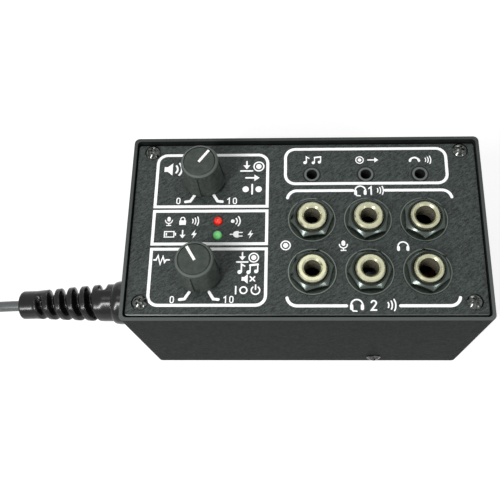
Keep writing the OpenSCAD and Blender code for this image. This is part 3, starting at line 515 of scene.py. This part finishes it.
def dress_nodes(rubber, nut):
    """Gives every modelled piece its finish; two finishes are shared with the built pieces."""
    dials = ("vol", "sq")
    jacks = [f"{row}_{use}" for row in ("pilot", "copilot") for use in ("ptt", "mic", "ear")]
    contact_brass = brass("contact_brass", (196, 160, 84), (222, 190, 112))
    spacer_brass = brass("spacer_brass", (178, 150, 84), (204, 180, 116))
    component_black = moulded_black("component_black")
    drawn_steel = steel()
    finishes = [
        (case_plastic(), ["case_tub"]),
        (panel_finish(), ["face_panel"]),
        (black_screw(), ["panel_screws", "strap_screw"]),
        (nut, ["strain_relief_nut"]),
        (black_washer(), ["jack_washers"]),
        (nickel(), ["pot_nuts", "pot_washers"]),
        (jack_nickel(), [f"{jack}_jack" for jack in jacks]),
        (contact_brass, [f"{jack}_contacts" for jack in jacks]),
        (knob_soft(), [f"{dial}_knob" for dial in dials]),
        (knob_cap(), [f"{dial}_knob_cap" for dial in dials]),
        (pointer_white(), [f"{dial}_pointer" for dial in dials]),
        (pot_metal(), [f"{dial}_pot" for dial in dials]),
        (rotor_plastic(), [f"{dial}_rotor" for dial in dials]),
        (drawn_steel, [f"{dial}_shaft" for dial in dials]),
        (drawn_steel, ["board_screws", "battery_strap", "strap_nut"]),
        (small_jack(), ["music_jack", "recorder_jack", "phone_jack"]),
        (component_black, [f"{dial}_switch" for dial in dials]),
        (component_black, ["board_parts", "battery_snap"]),
        (lens("red_lens", (112, 8, 6), (198, 18, 8), (236, 48, 16)), ["red_lamp"]),
        (lens("green_lens", (50, 112, 62), (90, 176, 98), (122, 208, 128)), ["green_lamp"]),
        (board_green(), ["circuit_board"]),
        (spacer_brass, ["board_spacers"]),
        (battery_case(), ["battery"]),
        (rubber, ["cord_split"]),
        (plug_metal(), ["mic_plug_pin", "phone_plug_pin"]),
        (plug_barrel(), ["mic_plug_barrel", "phone_plug_barrel"]),
    ]
    for finish, names in finishes:
        for name in names:
            for slot in nodes[name].material_slots:
                slot.material = finish.material


# ---------------------------------------------------------------- helpers of the pieces


def ramp(value, start, end):
    """From 0 at start to 1 at end, and no further."""
    return min(max((value - start) / (end - start), 0), 1)


def make_piece(name, mesh, finish):
    """An object with this finish, from a bmesh that is then freed."""
    data = bpy.data.meshes.new(name)
    mesh.to_mesh(data)
    mesh.free()
    data.materials.append(finish.material)
    piece = bpy.data.objects.new(name, data)
    bpy.context.scene.collection.objects.link(piece)
    return piece


# ---------------------------------------------------------------- cords
# The routes are those of the modelled cords

CORD_D = 3.6
TAIL_D = 2.6
CORD_ROUNDNESS = 5
ROUTE_STEPS = 4
LEAD_ROUTE = [
    (-96.77, -22.3, 42.79), (-102.45, -22.3, 42.24), (-109.6, -22.3, 41),
    (-116.6, -22.3, 38.7), (-123, -22.3, 35), (-128.8, -22.3, 29.9), (-134, -22.3, 24),
    (-138.9, -22.3, 17.8), (-143.9, -22.3, 11.8), (-149.3, -22.3, 6.8), (-154.8, -22.3, 3.5),
    (-159.4, -22.3, 2), (-163.2, -22.3, 1.8), (-166.4, -22.3, 1.8),
]
COIL_AT = (-170, 4.3)
COIL_TURNS = 7
COIL_R = 26.6
COIL_PITCH = 3.9
COIL_RISE = 3.9
COIL_CLIMB = 0.5  # of a turn
COIL_STEPS = 24
SPLIT_ROUTE = [
    (-173.3, -22.3, 5.7), (-177.6, -22.3, 5.5), (-182.2, -22.3, 4.7), (-186, -22.3, 3.5),
    (-188.6, -22.3, 3.2), (-192, -22.3, 3.2),
]
MIC_ROUTE = [
    (-212, -20.1, 3.2), (-215, -20.1, 3.2), (-220, -19.2, 2), (-224, -16, 1.4),
    (-226.6, -11, 1.3), (-227.8, -4.8, 1.3), (-228, 1.6, 1.3), (-227.4, 8, 1.4),
    (-225.4, 14, 2.6), (-222, 19.2, 5.1), (-218, 23.4, 8.4), (-213.6, 26.8, 11.7),
    (-208.6, 28.8, 13.8), (-205.2, 29, 14.1), (-203.5, 29, 14.1),
]
PHONE_ROUTE = [
    (-212, -24.5, 3.2), (-215, -24.5, 3.2), (-221, -23.8, 2), (-226, -21, 1.4),
    (-230, -16.4, 1.3), (-232.4, -10.6, 1.3), (-233.6, -4.2, 1.3), (-234, 2.4, 1.3),
    (-234, 9, 1.3), (-233.4, 15.6, 1.3), (-231.6, 22, 1.3), (-228.4, 28, 1.8),
    (-224, 33, 3), (-218.6, 36.8, 4.8), (-213, 39.2, 6.2), (-207.4, 39.8, 6.5),
    (-203.5, 39.8, 6.5),
]


def coil_point(turn):
    """The coil's point after this many turns: in on the table, up a layer and out again."""
    half = COIL_TURNS / 2
    climb = ramp(turn, half - COIL_CLIMB / 2, half + COIL_CLIMB / 2)
    reach = COIL_R - COIL_PITCH * (half - abs(turn - half))
    angle = math.radians(-90 - 360 * turn)
    return (
        COIL_AT[0] + reach * math.cos(angle),
        COIL_AT[1] + reach * math.sin(angle),
        CORD_D / 2 + COIL_RISE * climb,
    )


def main_route():
    """The lead from the strain relief, the coil, and the end that enters the split."""
    turns = [coil_point(i / COIL_STEPS) for i in range(COIL_TURNS * COIL_STEPS + 1)]
    return [*LEAD_ROUTE, *turns, *SPLIT_ROUTE]


def smooth(points):
    """Points along a Catmull-Rom curve through the given ones, made into metres."""
    points = [Vector(p) * MM for p in points]
    ends = [2 * points[0] - points[1], *points, 2 * points[-1] - points[-2]]
    line = []
    for before, start, end, after in zip(ends, ends[1:], ends[2:], ends[3:]):
        for i in range(ROUTE_STEPS):
            t = i / ROUTE_STEPS
            line.append(
                start
                + (end - before) * t / 2
                + (before * 2 - start * 5 + end * 4 - after) * t * t / 2
                + (start * 3 - before - end * 3 + after) * t**3 / 2
            )
    return [*line, points[-1]]


def make_cord(name, route, diameter, finish, replaced):
    """A round cord along a route, standing for its modelled solids."""
    line = smooth(route)
    curve = bpy.data.curves.new(name, "CURVE")
    curve.dimensions = "3D"
    curve.bevel_depth = diameter * MM / 2
    curve.bevel_resolution = CORD_ROUNDNESS
    curve.use_fill_caps = True
    spline = curve.splines.new("POLY")
    spline.points.add(len(line) - 1)
    for point, place in zip(spline.points, line):
        point.co = (*place, 1)
    curve.materials.append(finish.material)
    cord = bpy.data.objects.new(name, curve)
    bpy.context.scene.collection.objects.link(cord)
    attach(cord, BOX)
    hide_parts(*replaced)


def make_cords():
    """The main cord with its coil and split, and the two tails with their plugs."""
    jacket = cord_jacket()
    make_cord(
        "main_cord", main_route(), CORD_D, jacket, ["cord_lead", "cord_coil"],
    )
    for use, route in (("mic", MIC_ROUTE), ("phone", PHONE_ROUTE)):
        make_cord(f"{use}_tail_cord", route, TAIL_D, jacket, [f"{use}_tail"])


# ---------------------------------------------------------------- strain relief
# It stands on the left wall and runs along -X; beyond its collar it sags a little. A round
# groove winds along it, and leaves its collar and its end plain. Angles are in turns, from
# the top down over the front

RELIEF_AT = (-58.9, -22.05, 45.6)
NECK_R = 3.5
NECK_LEN = 6.5
FLANGE_R = 7.3
FLANGE_EDGE = 3.2
FLANGE_LEN = 5.6
COLLAR_R = 6.3
COLLAR_LEN = 8.7
RIBBED_END = 28.5
RIBBED_R = 5.15
TIP_R = 4.8
TIP_STRAIGHT = 33
RELIEF_LEN = 38
TIP_ROUND = 0.6
RELIEF_SAG = math.radians(5.5)
SAG_BEND = 1  # to each side of the collar's end
GROOVE_AT = 26.33
GROOVE_PITCH = 4.45
GROOVE_HALF = 1.5
GROOVE_DEPTH = 0.4
GROOVE_ENDS = (-1.07, 3.93)
GROOVE_RUN_OUT = 0.07
GROOVE_FULLNESS = 0.8
RELIEF_STEP = 0.2
RELIEF_FOOT = -0.01  # where the neck meets the flange
RELIEF_SIDES = 72


def relief_outline(along):
    """Radius of the strain relief without its groove."""
    if along < 0:
        return NECK_R
    if along < FLANGE_LEN:
        fall = ramp(along, FLANGE_EDGE, FLANGE_LEN)
        return COLLAR_R + (FLANGE_R - COLLAR_R) * math.sqrt(1 - fall**2)
    radius = COLLAR_R + (RIBBED_R - COLLAR_R) * ramp(along, COLLAR_LEN, RIBBED_END)
    radius += (TIP_R - RIBBED_R) * ramp(along, RIBBED_END, TIP_STRAIGHT)
    into = ramp(along, RELIEF_LEN - TIP_ROUND, RELIEF_LEN)
    return radius - TIP_ROUND * (1 - math.sqrt(1 - into**2))


def groove(along, turn):
    """How deep the groove is here, from 0 to 1."""
    wound = (GROOVE_AT - along) / GROOVE_PITCH - turn
    whole = round(wound)
    offset = abs(wound - whole) * GROOVE_PITCH
    start, end = GROOVE_ENDS
    at = whole + turn
    ends = ramp(at, start, start + GROOVE_RUN_OUT) * ramp(at, end, end - GROOVE_RUN_OUT)
    across = math.pi * min(offset / GROOVE_HALF, 1)
    return ends * ((1 + math.cos(across)) / 2) ** GROOVE_FULLNESS


def relief_point(along, turn):
    """A point of the strain relief's surface."""
    radius = relief_outline(along) * (1 - GROOVE_DEPTH * groove(along, turn))
    beyond = along - COLLAR_LEN
    sag = RELIEF_SAG * ramp(beyond, -SAG_BEND, SAG_BEND)
    rise = radius * math.cos(math.tau * turn)
    return (
        RELIEF_AT[0] - COLLAR_LEN - beyond * math.cos(sag) - rise * math.sin(sag),
        RELIEF_AT[1] - radius * math.sin(math.tau * turn),
        RELIEF_AT[2] - beyond * math.sin(sag) + rise * math.cos(sag),
    )


def make_strain_relief(finish):
    """The strain relief, from its neck in the wall to its rounded end."""
    steps = round(RELIEF_LEN / RELIEF_STEP)
    places = [-NECK_LEN, RELIEF_FOOT, *(RELIEF_LEN * i / steps for i in range(steps + 1))]
    turns = [i / RELIEF_SIDES for i in range(RELIEF_SIDES)]
    mesh = bmesh.new()
    rings = [
        [mesh.verts.new(Vector(relief_point(along, turn)) * MM) for turn in turns]
        for along in places
    ]
    for low, high in zip(rings, rings[1:]):
        for i in range(RELIEF_SIDES):
            mesh.faces.new((low[i - 1], low[i], high[i], high[i - 1])).smooth = True
    mesh.faces.new(rings[0])
    mesh.faces.new(rings[-1])
    bmesh.ops.recalc_face_normals(mesh, faces=mesh.faces)
    piece = make_piece("ribbed_strain_relief", mesh, finish)
    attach(piece, BOX)
    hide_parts("strain_relief")


# ---------------------------------------------------------------- jack nuts
# Hexagonal nuts whose corners are chamfered from a circle inside their flats

NUT_TURNS = ((7, 20, 30), (14, 2, 39))  # degrees, by row from the rear
NUT_AF = 12.7
NUT_T = 2.5
NUT_BORE_R = 4.9
NUT_BEVEL = 0.3
NUT_LOW = PANEL_TOP + WASHER_T
NUT_ROUND_R = 5.75
NUT_SLOPE = 0.62
NUT_EDGE = (0.1, 0.06)
NUT_SIDES = 96
NUT_SHARP = math.radians(24)


def nut_outline(angle):
    """Distance of a nut's side from its middle at an angle from the middle of a flat."""
    off = (angle + math.pi / 6) % (math.pi / 3) - math.pi / 6
    return NUT_AF / 2 / math.cos(off)


def nut_sections(turn):
    """A nut's section at each angle round it: bore, top, chamfer and side."""
    top = NUT_LOW + NUT_T
    edge_in, edge_up = NUT_EDGE
    for i in range(NUT_SIDES):
        angle = math.tau * i / NUT_SIDES
        reach = nut_outline(angle)
        corner = top - (reach - NUT_ROUND_R) * NUT_SLOPE
        section = [
            (NUT_BORE_R, NUT_LOW), (NUT_BORE_R, top - NUT_BEVEL), (NUT_BORE_R + NUT_BEVEL, top),
            (NUT_ROUND_R, top), (reach - edge_in, corner + edge_up), (reach, corner - edge_up),
            (reach, NUT_LOW),
        ]
        way = angle + math.radians(turn) - math.pi / 2
        yield [(r * math.cos(way), r * math.sin(way), z) for r, z in section]


def make_nuts(finish):
    """The six nuts of the headset jacks."""
    mesh = bmesh.new()
    for row, turns in enumerate(NUT_TURNS):
        for column, turn in enumerate(turns):
            middle = Vector((
                JACK_AT[0] + column * JACK_PITCH[0], JACK_AT[1] - row * JACK_PITCH[1], 0
            ))
            sections = [
                [mesh.verts.new((middle + Vector(point)) * MM) for point in points]
                for points in nut_sections(turn)
            ]
            for i, section in enumerate(sections):
                before = sections[i - 1]
                for k in range(len(section)):
                    mesh.faces.new((before[k - 1], section[k - 1], section[k], before[k]))
    bmesh.ops.recalc_face_normals(mesh, faces=mesh.faces)
    piece = make_piece("chamfered_nuts", mesh, finish)
    piece.data.shade_smooth()
    piece.data.set_sharp_from_angle(angle=NUT_SHARP)
    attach(piece, BOX)
    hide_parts("jack_nuts")


# ---------------------------------------------------------------- printed marks
# Shapes are closed outlines, and each mark is drawn about its own middle. Neighbouring shapes
# differ a little in height, so that no two faces lie in one plane where they cross

INK_HEIGHT = 0.02
INK_STEP = 0.003
INK_LEVELS = 4
INK_SINK = 0.01
ARC_STEPS = 10
CAP_STEPS = 8
CORNER_STEPS = 6
DISC_SIDES = 18
RING_SIDES = 24
SHARPEST_MITRE = 0.4


def arc(x, y, radius, start, end, steps=ARC_STEPS):
    """Points on an arc, its angles in degrees anticlockwise from +X."""
    angles = [math.radians(start + (end - start) * i / steps) for i in range(steps + 1)]
    return [(x + radius * math.cos(a), y + radius * math.sin(a)) for a in angles]


def circle(x, y, radius, sides):
    """Points round a whole circle."""
    return arc(x, y, radius, 0, 360 - 360 / sides, sides - 1)


def disc(x, y, radius):
    """A filled circle."""
    return [circle(x, y, radius, DISC_SIDES)]


def edges_at(point, before, after, width):
    """Both edges of a line of this width, where its way turns from before to after."""
    mean = (before + after).normalized()
    side = Vector((-mean.y, mean.x)) * width / 2 / max(mean.dot(after), SHARPEST_MITRE)
    return tuple(point + side), tuple(point - side)


def stroke(points, width):
    """The outline of a line of this width through points, with round ends."""
    points = [Vector(p) for p in points]
    ways = [(b - a).normalized() for a, b in zip(points, points[1:])]
    turns = zip(points, [ways[0], *ways], [*ways, ways[-1]])
    left, right = zip(*(edges_at(*turn, width) for turn in turns))
    first = math.degrees(math.atan2(ways[0].y, ways[0].x))
    last = math.degrees(math.atan2(ways[-1].y, ways[-1].x))
    end_cap = arc(*points[-1], width / 2, last + 90, last - 90, CAP_STEPS)[1:-1]
    start_cap = arc(*points[0], width / 2, first - 90, first - 270, CAP_STEPS)[1:-1]
    return [[*left, *end_cap, *right[::-1], *start_cap]]


def loop(points, width):
    """Quads of a closed line of this width through points."""
    points = [Vector(p) for p in points]
    ways = [(b - a).normalized() for a, b in zip(points, [*points[1:], points[0]])]
    turns = zip(points, [ways[-1], *ways], ways)
    edges = [edges_at(*turn, width) for turn in turns]
    return [
        [outer, next_outer, next_inner, inner]
        for (inner, outer), (next_inner, next_outer) in zip(edges, [*edges[1:], edges[0]])
    ]


def rounded(left, bottom, right, top, low_r, high_r):
    """Corners of a rectangle, its lower and its upper corners rounded."""
    corners = [
        (left, bottom, 1, 1, low_r, 180), (right, bottom, -1, 1, low_r, 270),
        (right, top, -1, -1, high_r, 0), (left, top, 1, -1, high_r, 90),
    ]
    points = []
    for x, y, inward_x, inward_y, radius, start in corners:
        middle = (x + inward_x * radius, y + inward_y * radius)
        bend = arc(*middle, radius, start, start + 90, CORNER_STEPS)
        points += bend if radius else [(x, y)]
    return points


def moved(shapes, at, size=1.0):
    """Shapes scaled by size and moved to a place."""
    return [[(at[0] + size * x, at[1] + size * y) for x, y in shape] for shape in shapes]


def printed(name, shapes, finish):
    """One thin piece of ink on the panel's top face, from flat shapes."""
    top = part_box("face_panel")[1].z
    low = top - INK_SINK * MM
    mesh = bmesh.new()
    for i, shape in enumerate(shapes):
        high = top + (INK_HEIGHT + i % INK_LEVELS * INK_STEP) * MM
        lower = mesh.faces.new([mesh.verts.new((x * MM, y * MM, low)) for x, y in shape])
        lower.normal_update()
        if lower.normal.z < 0:
            lower.normal_flip()
        raised = bmesh.ops.extrude_face_region(mesh, geom=[lower], use_keep_orig=True)
        upper = [v for v in raised["geom"] if isinstance(v, bmesh.types.BMVert)]
        bmesh.ops.translate(mesh, verts=upper, vec=(0, 0, high - low))
        lower.normal_flip()
    piece = make_piece(name, mesh, finish)
    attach(piece, BOX)


# Generic marks, each about 4 mm across. Each function gives the shapes of the mark it names

STROKE = 0.52
THIN_STROKE = 0.45
FINE_STROKE = 0.42
CONE = [(-2.3, -0.7), (-1.4, -0.7), (-0.1, -1.8), (-0.1, 1.8), (-1.4, 0.7), (-2.3, 0.7)]


def strokes(*paths, width=STROKE):
    """Lines through each of several lists of points."""
    return [stroke(path, width)[0] for path in paths]


def ring(x, y, radius, width=STROKE):
    return loop(circle(x, y, radius, RING_SIDES), width)


def speaker():
    return [CONE, *strokes(arc(-0.3, 0, 1.5, -40, 40), arc(-0.3, 0, 2.6, -40, 40))]


def muted():
    return [CONE, *strokes([(0.8, 0.8), (2.4, -0.8)], [(0.8, -0.8), (2.4, 0.8)])]


def wave():
    peaks = [(-1.2, 1.5), (-0.4, -1.5), (0.4, 1.2), (1, -0.8)]
    return strokes([(-2.5, 0), (-1.8, 0), *peaks, (1.5, 0), (2.5, 0)])


def push():
    head = [(-1.15, 0.45), (0, -1), (1.15, 0.45)]
    return [head, *strokes([(0, 1.8), (0, 0)], [(-1.9, -1.6), (1.9, -1.6)])]


def arrow():
    head = [(0.6, 1.1), (0.6, -1.1), (2.2, 0)]
    return [head, *strokes([(-2, 0), (1, 0)])]


def isolate():
    return [*disc(-1.9, 0, 0.95), *strokes([(0, -1.5), (0, 1.5)]), *disc(1.9, 0, 0.95)]


def note():
    return [*disc(-0.5, -1.2, 0.72), *strokes([(0.1, -1.2), (0.1, 1.6), (1.2, 0.9)])]


def two_notes():
    heads = [disc(x, y, 0.68)[0] for x, y in ((-1.6, -1.3), (1, -1))]
    stems = strokes([(-1.05, -1.3), (-1.05, 1.2)], [(1.55, -1), (1.55, 1.5)], width=THIN_STROKE)
    return [*heads, *stems, *stroke([(-1.05, 1.2), (1.55, 1.5)], 0.75)]


def standby():
    return strokes(arc(0, -0.15, 1.5, 130, 410, 20), [(0, 0.2), (0, 1.8)])


def on_off():
    return [*strokes([(-1.5, -1.3), (-1.5, 1.3)]), *ring(1.1, 0, 1.15)]


def microphone():
    capsule = stroke([(0, 0.5), (0, 1.2)], 1.3)
    cradle = arc(0, 0.4, 1.35, 180, 360)
    stand = [(0, -0.95), (0, -1.7)]
    foot = [(-0.8, -1.8), (0.8, -1.8)]
    return [*capsule, *strokes(cradle, stand, foot, width=FINE_STROKE)]


def latch():
    body = [(-1.3, -1.7), (1.3, -1.7), (1.3, 0.2), (-1.3, 0.2)]
    return [body, *strokes([(-0.8, 0), *arc(0, 0.7, 0.8, 180, 0), (0.8, 0)], width=FINE_STROKE)]


def talk():
    return [*disc(-1.6, 0, 0.75), *strokes(arc(-1.6, 0, 1.75, -42, 42), arc(-1.6, 0, 2.9, -42, 42))]


def ripples():
    return strokes(*(arc(-3, 0, r, -28, 28) for r in (1.9, 3.1, 4.3)))


def cell():
    shell = loop([(-2, -1.15), (1.7, -1.15), (1.7, 1.15), (-2, 1.15)], THIN_STROKE)
    return [*shell, *strokes([(2.3, -0.4), (2.3, 0.4)], [(-1.25, -0.4), (-1.25, 0.4)])]


def down():
    head = [(-1.1, -0.2), (0, -1.6), (1.1, -0.2)]
    return [head, *strokes([(0, 1.5), (0, -0.5)])]


def supply():
    pins = [(0.6, -0.75), (2, -0.75)], [(0.6, 0.75), (2, 0.75)]
    body = [*arc(-0.2, 0, 1.35, 90, 270), (0.6, -1.35), (0.6, 1.35)]
    return [body, *strokes(*pins, [(-1.5, 0), (-2.6, 0)], width=THIN_STROKE)]


def bolt():
    return [[(0.5, 1.9), (-1.1, -0.35), (-0.1, -0.35), (-0.5, -1.9), (1.1, 0.4), (0.1, 0.4)]]


def record():
    return [*ring(0, 0, 1.5, FINE_STROKE), *disc(0, 0, 0.75)]


def handset():
    ends = strokes([(-1.6, -0.2), (-1.8, -0.75)], [(1.6, -0.2), (1.8, -0.75)], width=1)
    return [*stroke(arc(0, -1.2, 1.9, 35, 145), 0.75), *ends]


def button():
    return [*ring(0, 0, 1.6, THIN_STROKE), *disc(0, 0, 0.9)]


def headphones():
    cups = strokes([(-1.6, -0.4), (-1.6, -1.3)], [(1.6, -0.4), (1.6, -1.3)], width=1)
    return [*stroke(arc(0, -0.2, 1.75, 0, 180), 0.5), *cups]


def headset():
    boom = [(-1.6, -1.3), (-1.2, -2), (-0.1, -2.1)]
    return [*headphones(), *strokes(boom, width=THIN_STROKE)]


def digits(text, height):
    """Plain numbers of this height, centred."""
    width, gap, weight = 0.58 * height, 0.26 * height, 0.15 * height
    half = (height - weight) / 2
    side = (width - weight) / 2
    bend = half - side
    hook = [(-side * 0.8, half * 0.55), (side * 0.3, half), (side * 0.3, -half)]
    drawn = {
        "0": loop([*arc(0, bend, side, 0, 180), *arc(0, -bend, side, 180, 360)], weight),
        "1": stroke(hook, weight),
        "2": stroke([*arc(0, bend, side, 165, -35), (-side, -half), (side, -half)], weight),
    }
    step = width + gap
    start = -step * (len(text) - 1) / 2
    return [
        shape for i, mark in enumerate(text) for shape in moved(drawn[mark], (start + i * step, 0))
    ]


FRAME_LINE = 1.0
FRAME_LEFT = -50.45
FRAME_RIGHT = -12.88
FRAME_R = 3.2
FIELDS = [  # front edge, rear edge, radius of the front and of the rear corners
    (7.16, 26.54, 0, FRAME_R), (-6.26, 5.5, 0, 0), (-27.2, -8.07, FRAME_R, 0),
]
SMALL_JACK_FRAME = (-6.84, 15.45, 47.65, 28.6)
SMALL_JACK_FRAME_R = 3.3
BRACKET_ENDS = (-6.1, 48.6)
BRACKET_R = 3.2
BRACKET_BEND = 80
BRACKETS = [  # place, way its ends curl, and the gap for its mark
    (12.83, -1, (15.8, 26.6)), (-27.45, 1, (12.7, 29.7)),
]
TICK = [(3.2, -5.5), (4.6, -7.75), (6.2, -7.95)]
TICK_LINE = 0.95
TICK_DROPS = {"vol_shaft": 0, "sq_shaft": 0.65}


def dial_frames():
    """Three framed fields at the left: rear dial, lamps and front dial."""
    return [
        quad
        for low, high, low_r, high_r in FIELDS
        for quad in loop(rounded(FRAME_LEFT, low, FRAME_RIGHT, high, low_r, high_r), FRAME_LINE)
    ]


def jack_brackets():
    """The small jacks' frame, and a bracket over and under the headset jacks."""
    corners = rounded(*SMALL_JACK_FRAME, SMALL_JACK_FRAME_R, SMALL_JACK_FRAME_R)
    shapes = loop(corners, FRAME_LINE)
    for y, curl, gap in BRACKETS:
        for side, start_x, end_x in zip((-1, 1), gap, BRACKET_ENDS):
            middle = (end_x - side * BRACKET_R, y + curl * BRACKET_R)
            start, end = -curl * 90, -curl * (90 - side * BRACKET_BEND)
            bend = arc(*middle, BRACKET_R, start, end, CAP_STEPS)
            shapes += stroke([(start_x, y), *bend], FRAME_LINE)
    return shapes


def dial_ticks():
    """An elbow at each end of each dial's travel."""
    shapes = []
    for node, drop in TICK_DROPS.items():
        low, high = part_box(node)
        middle = (low + high) / 2 / MM
        for side in (-1, 1):
            places = [(middle.x + side * x, middle.y + y - drop) for x, y in TICK]
            shapes += stroke(places, TICK_LINE)
    return shapes


def label_marks():
    """Generic marks beside the dials, lamps and jacks."""
    marks = [  # shapes, place and size
        (speaker(), (-45.2, 21.2), 1.3), (wave(), (-46.9, -11.8), 1.0),
        (push(), (-20, 22.1), 1.05), (button(), (-15.9, 22.1), 1.05),
        (arrow(), (-18, 17.8), 1.1), (isolate(), (-18, 13.5), 1.15),
        (push(), (-20.6, -11.1), 0.95), (button(), (-16.9, -11.1), 0.95),
        (note(), (-20.9, -14.9), 0.95), (two_notes(), (-17, -14.9), 0.95),
        (muted(), (-18.6, -18.4), 0.9), (on_off(), (-21, -22.2), 0.95),
        (standby(), (-16.1, -22.1), 0.9),
        (microphone(), (-45.4, 1.9), 0.85), (latch(), (-40.8, 2), 0.85),
        (ripples(), (-36.5, 1.9), 0.75), (talk(), (-22.8, 1.8), 0.85),
        (cell(), (-44.9, -2.8), 0.85), (down(), (-40.6, -2.8), 0.9), (bolt(), (-36.8, -2.8), 0.85),
        (supply(), (-22.6, -2.9), 0.85), (bolt(), (-18.2, -2.9), 0.85),
        (note(), (0.2, 24.4), 0.8), (two_notes(), (3.9, 24.4), 0.8),
        (record(), (18.4, 24.3), 0.85), (arrow(), (22.9, 24.3), 0.85),
        (handset(), (37, 24.5), 0.85), (ripples(), (41.6, 24.2), 0.7),
        (button(), (-6.6, -6.9), 0.95), (microphone(), (12.2, -7), 0.95),
        (headphones(), (31.5, -7.3), 0.95),
        (headset(), (18.3, 12.9), 1), (digits("1", 3.3), (21.7, 12.7), 1),
        (ripples(), (25, 12.8), 0.75),
        (headset(), (16, -27), 1.05), (digits("2", 3.6), (21.3, -27.3), 1),
        (ripples(), (27, -27.2), 0.9),
        (digits("0", 2.4), (-42.7, 9.3), 1), (digits("10", 2.4), (-24.7, 9.2), 1),
        (digits("0", 2.4), (-42.7, -25.3), 1), (digits("10", 2.4), (-24.7, -25.3), 1),
    ]
    return [shape for shapes, at, size in marks for shape in moved(shapes, at, size)]


def make_print():
    """All the white print on the panel."""
    white = ink()
    printed("print_frames", dial_frames(), white)
    printed("print_brackets", jack_brackets(), white)
    printed("print_ticks", dial_ticks(), white)
    printed("print_marks", label_marks(), white)


# ---------------------------------------------------------------- studio
# Its sizes and places are in metres, and its colours are linear

FLOOR_HALF = 3.0
FLOOR_LIT = (0.8, 0.8, 0.8, 1)
FLOOR_SHOWN = (0.4, 0.4, 0.4, 1)
FLOOR_GLOW = 0.74
FLOOR_FADE = (0.22, 0.6)
WORLD_LIGHT = 0.28
WHITE = (1, 1, 1, 1)
LIGHTS_AIM = (0, 0, 0.05)


def seen_ray(tree):
    """1 for rays of the camera, of reflections and of glass."""
    rays = add_node(tree, "LightPath").outputs
    total = rays["Is Camera Ray"]
    for name in ("Is Glossy Ray", "Is Transmission Ray"):
        total = add_node(tree, "Math", {0: total, 1: rays[name]}, operation="MAXIMUM").outputs[0]
    return total


def show_or_light(tree, light, shown, output):
    """Gives seen rays one shader and all other rays another."""
    choice = {0: seen_ray(tree), 1: light.outputs[0], 2: shown.outputs[0]}
    pick = add_node(tree, "MixShader", choice)
    add_node(tree, output, {"Surface": pick.outputs[0]})


def make_floor():
    """A pale floor that keeps the shadow under the box and turns white further out."""
    mesh = bpy.data.meshes.new("floor")
    edge = FLOOR_HALF
    corners = [(-edge, -edge, 0), (edge, -edge, 0), (edge, edge, 0), (-edge, edge, 0)]
    mesh.from_pydata(corners, [], [(0, 1, 2, 3)])
    floor = bpy.data.objects.new("floor", mesh)
    bpy.context.scene.collection.objects.link(floor)
    material = bpy.data.materials.new("floor")
    material.use_nodes = True
    tree = material.node_tree
    tree.nodes.clear()
    place = add_node(tree, "TexCoord").outputs["Object"]
    reach = add_node(tree, "VectorMath", {0: place}, operation="LENGTH").outputs["Value"]
    near, far = FLOOR_FADE
    fade = {"Value": reach, "From Min": near, "From Max": far, "To Min": FLOOR_GLOW}
    strength = add_node(tree, "MapRange", fade).outputs["Result"]
    glow = add_node(tree, "Emission", {"Strength": strength})
    shadowed = add_node(tree, "BsdfDiffuse", {"Color": FLOOR_SHOWN})
    shown = add_node(tree, "AddShader", {0: shadowed.outputs[0], 1: glow.outputs[0]})
    light = add_node(tree, "BsdfDiffuse", {"Color": FLOOR_LIT})
    show_or_light(tree, light, shown, "OutputMaterial")
    mesh.materials.append(material)


def make_world():
    """A white surround to look at, and a softer one to light by."""
    world = bpy.data.worlds.new("world")
    bpy.context.scene.world = world
    world.use_nodes = True
    tree = world.node_tree
    tree.nodes.clear()
    light = add_node(tree, "Background", {"Color": WHITE, "Strength": WORLD_LIGHT})
    shown = add_node(tree, "Background", {"Color": WHITE, "Strength": 1})
    show_or_light(tree, light, shown, "OutputWorld")


def make_light(name, at, width, height, watts):
    """A soft rectangular light at a place, aimed at the box."""
    data = bpy.data.lights.new(name, "AREA")
    data.shape = "RECTANGLE"
    data.size = width
    data.size_y = height
    data.energy = watts
    light = bpy.data.objects.new(name, data)
    light.location = at
    way = Vector(LIGHTS_AIM) - Vector(at)
    light.rotation_euler = way.to_track_quat("-Z", "Y").to_euler()
    bpy.context.scene.collection.objects.link(light)


def make_lights():
    """A key light at the front left and weaker ones at the right, overhead and behind."""
    make_light("key", (-0.37, -0.43, 0.64), width=0.09, height=0.54, watts=5.6)
    make_light("fill", (0.44, -0.45, 0.5), width=0.12, height=0.2, watts=0.9)
    make_light("over", (-0.12, 0.1, 0.75), width=0.3, height=0.3, watts=0.7)
    make_light("back", (-0.1, 0.75, 0.35), width=0.3, height=0.3, watts=1)


# ---------------------------------------------------------------- the scene


def make_box():
    """The strain relief and the nuts, and the finish of everything that was modelled."""
    rubber = relief_rubber()
    nut = black_nut()
    make_strain_relief(rubber)
    make_nuts(nut)
    dress_nodes(rubber, nut)


make_camera()
make_cords()
make_box()
make_print()
make_floor()
make_world()
make_lights()
bpy.context.scene.view_settings.view_transform = "Standard"
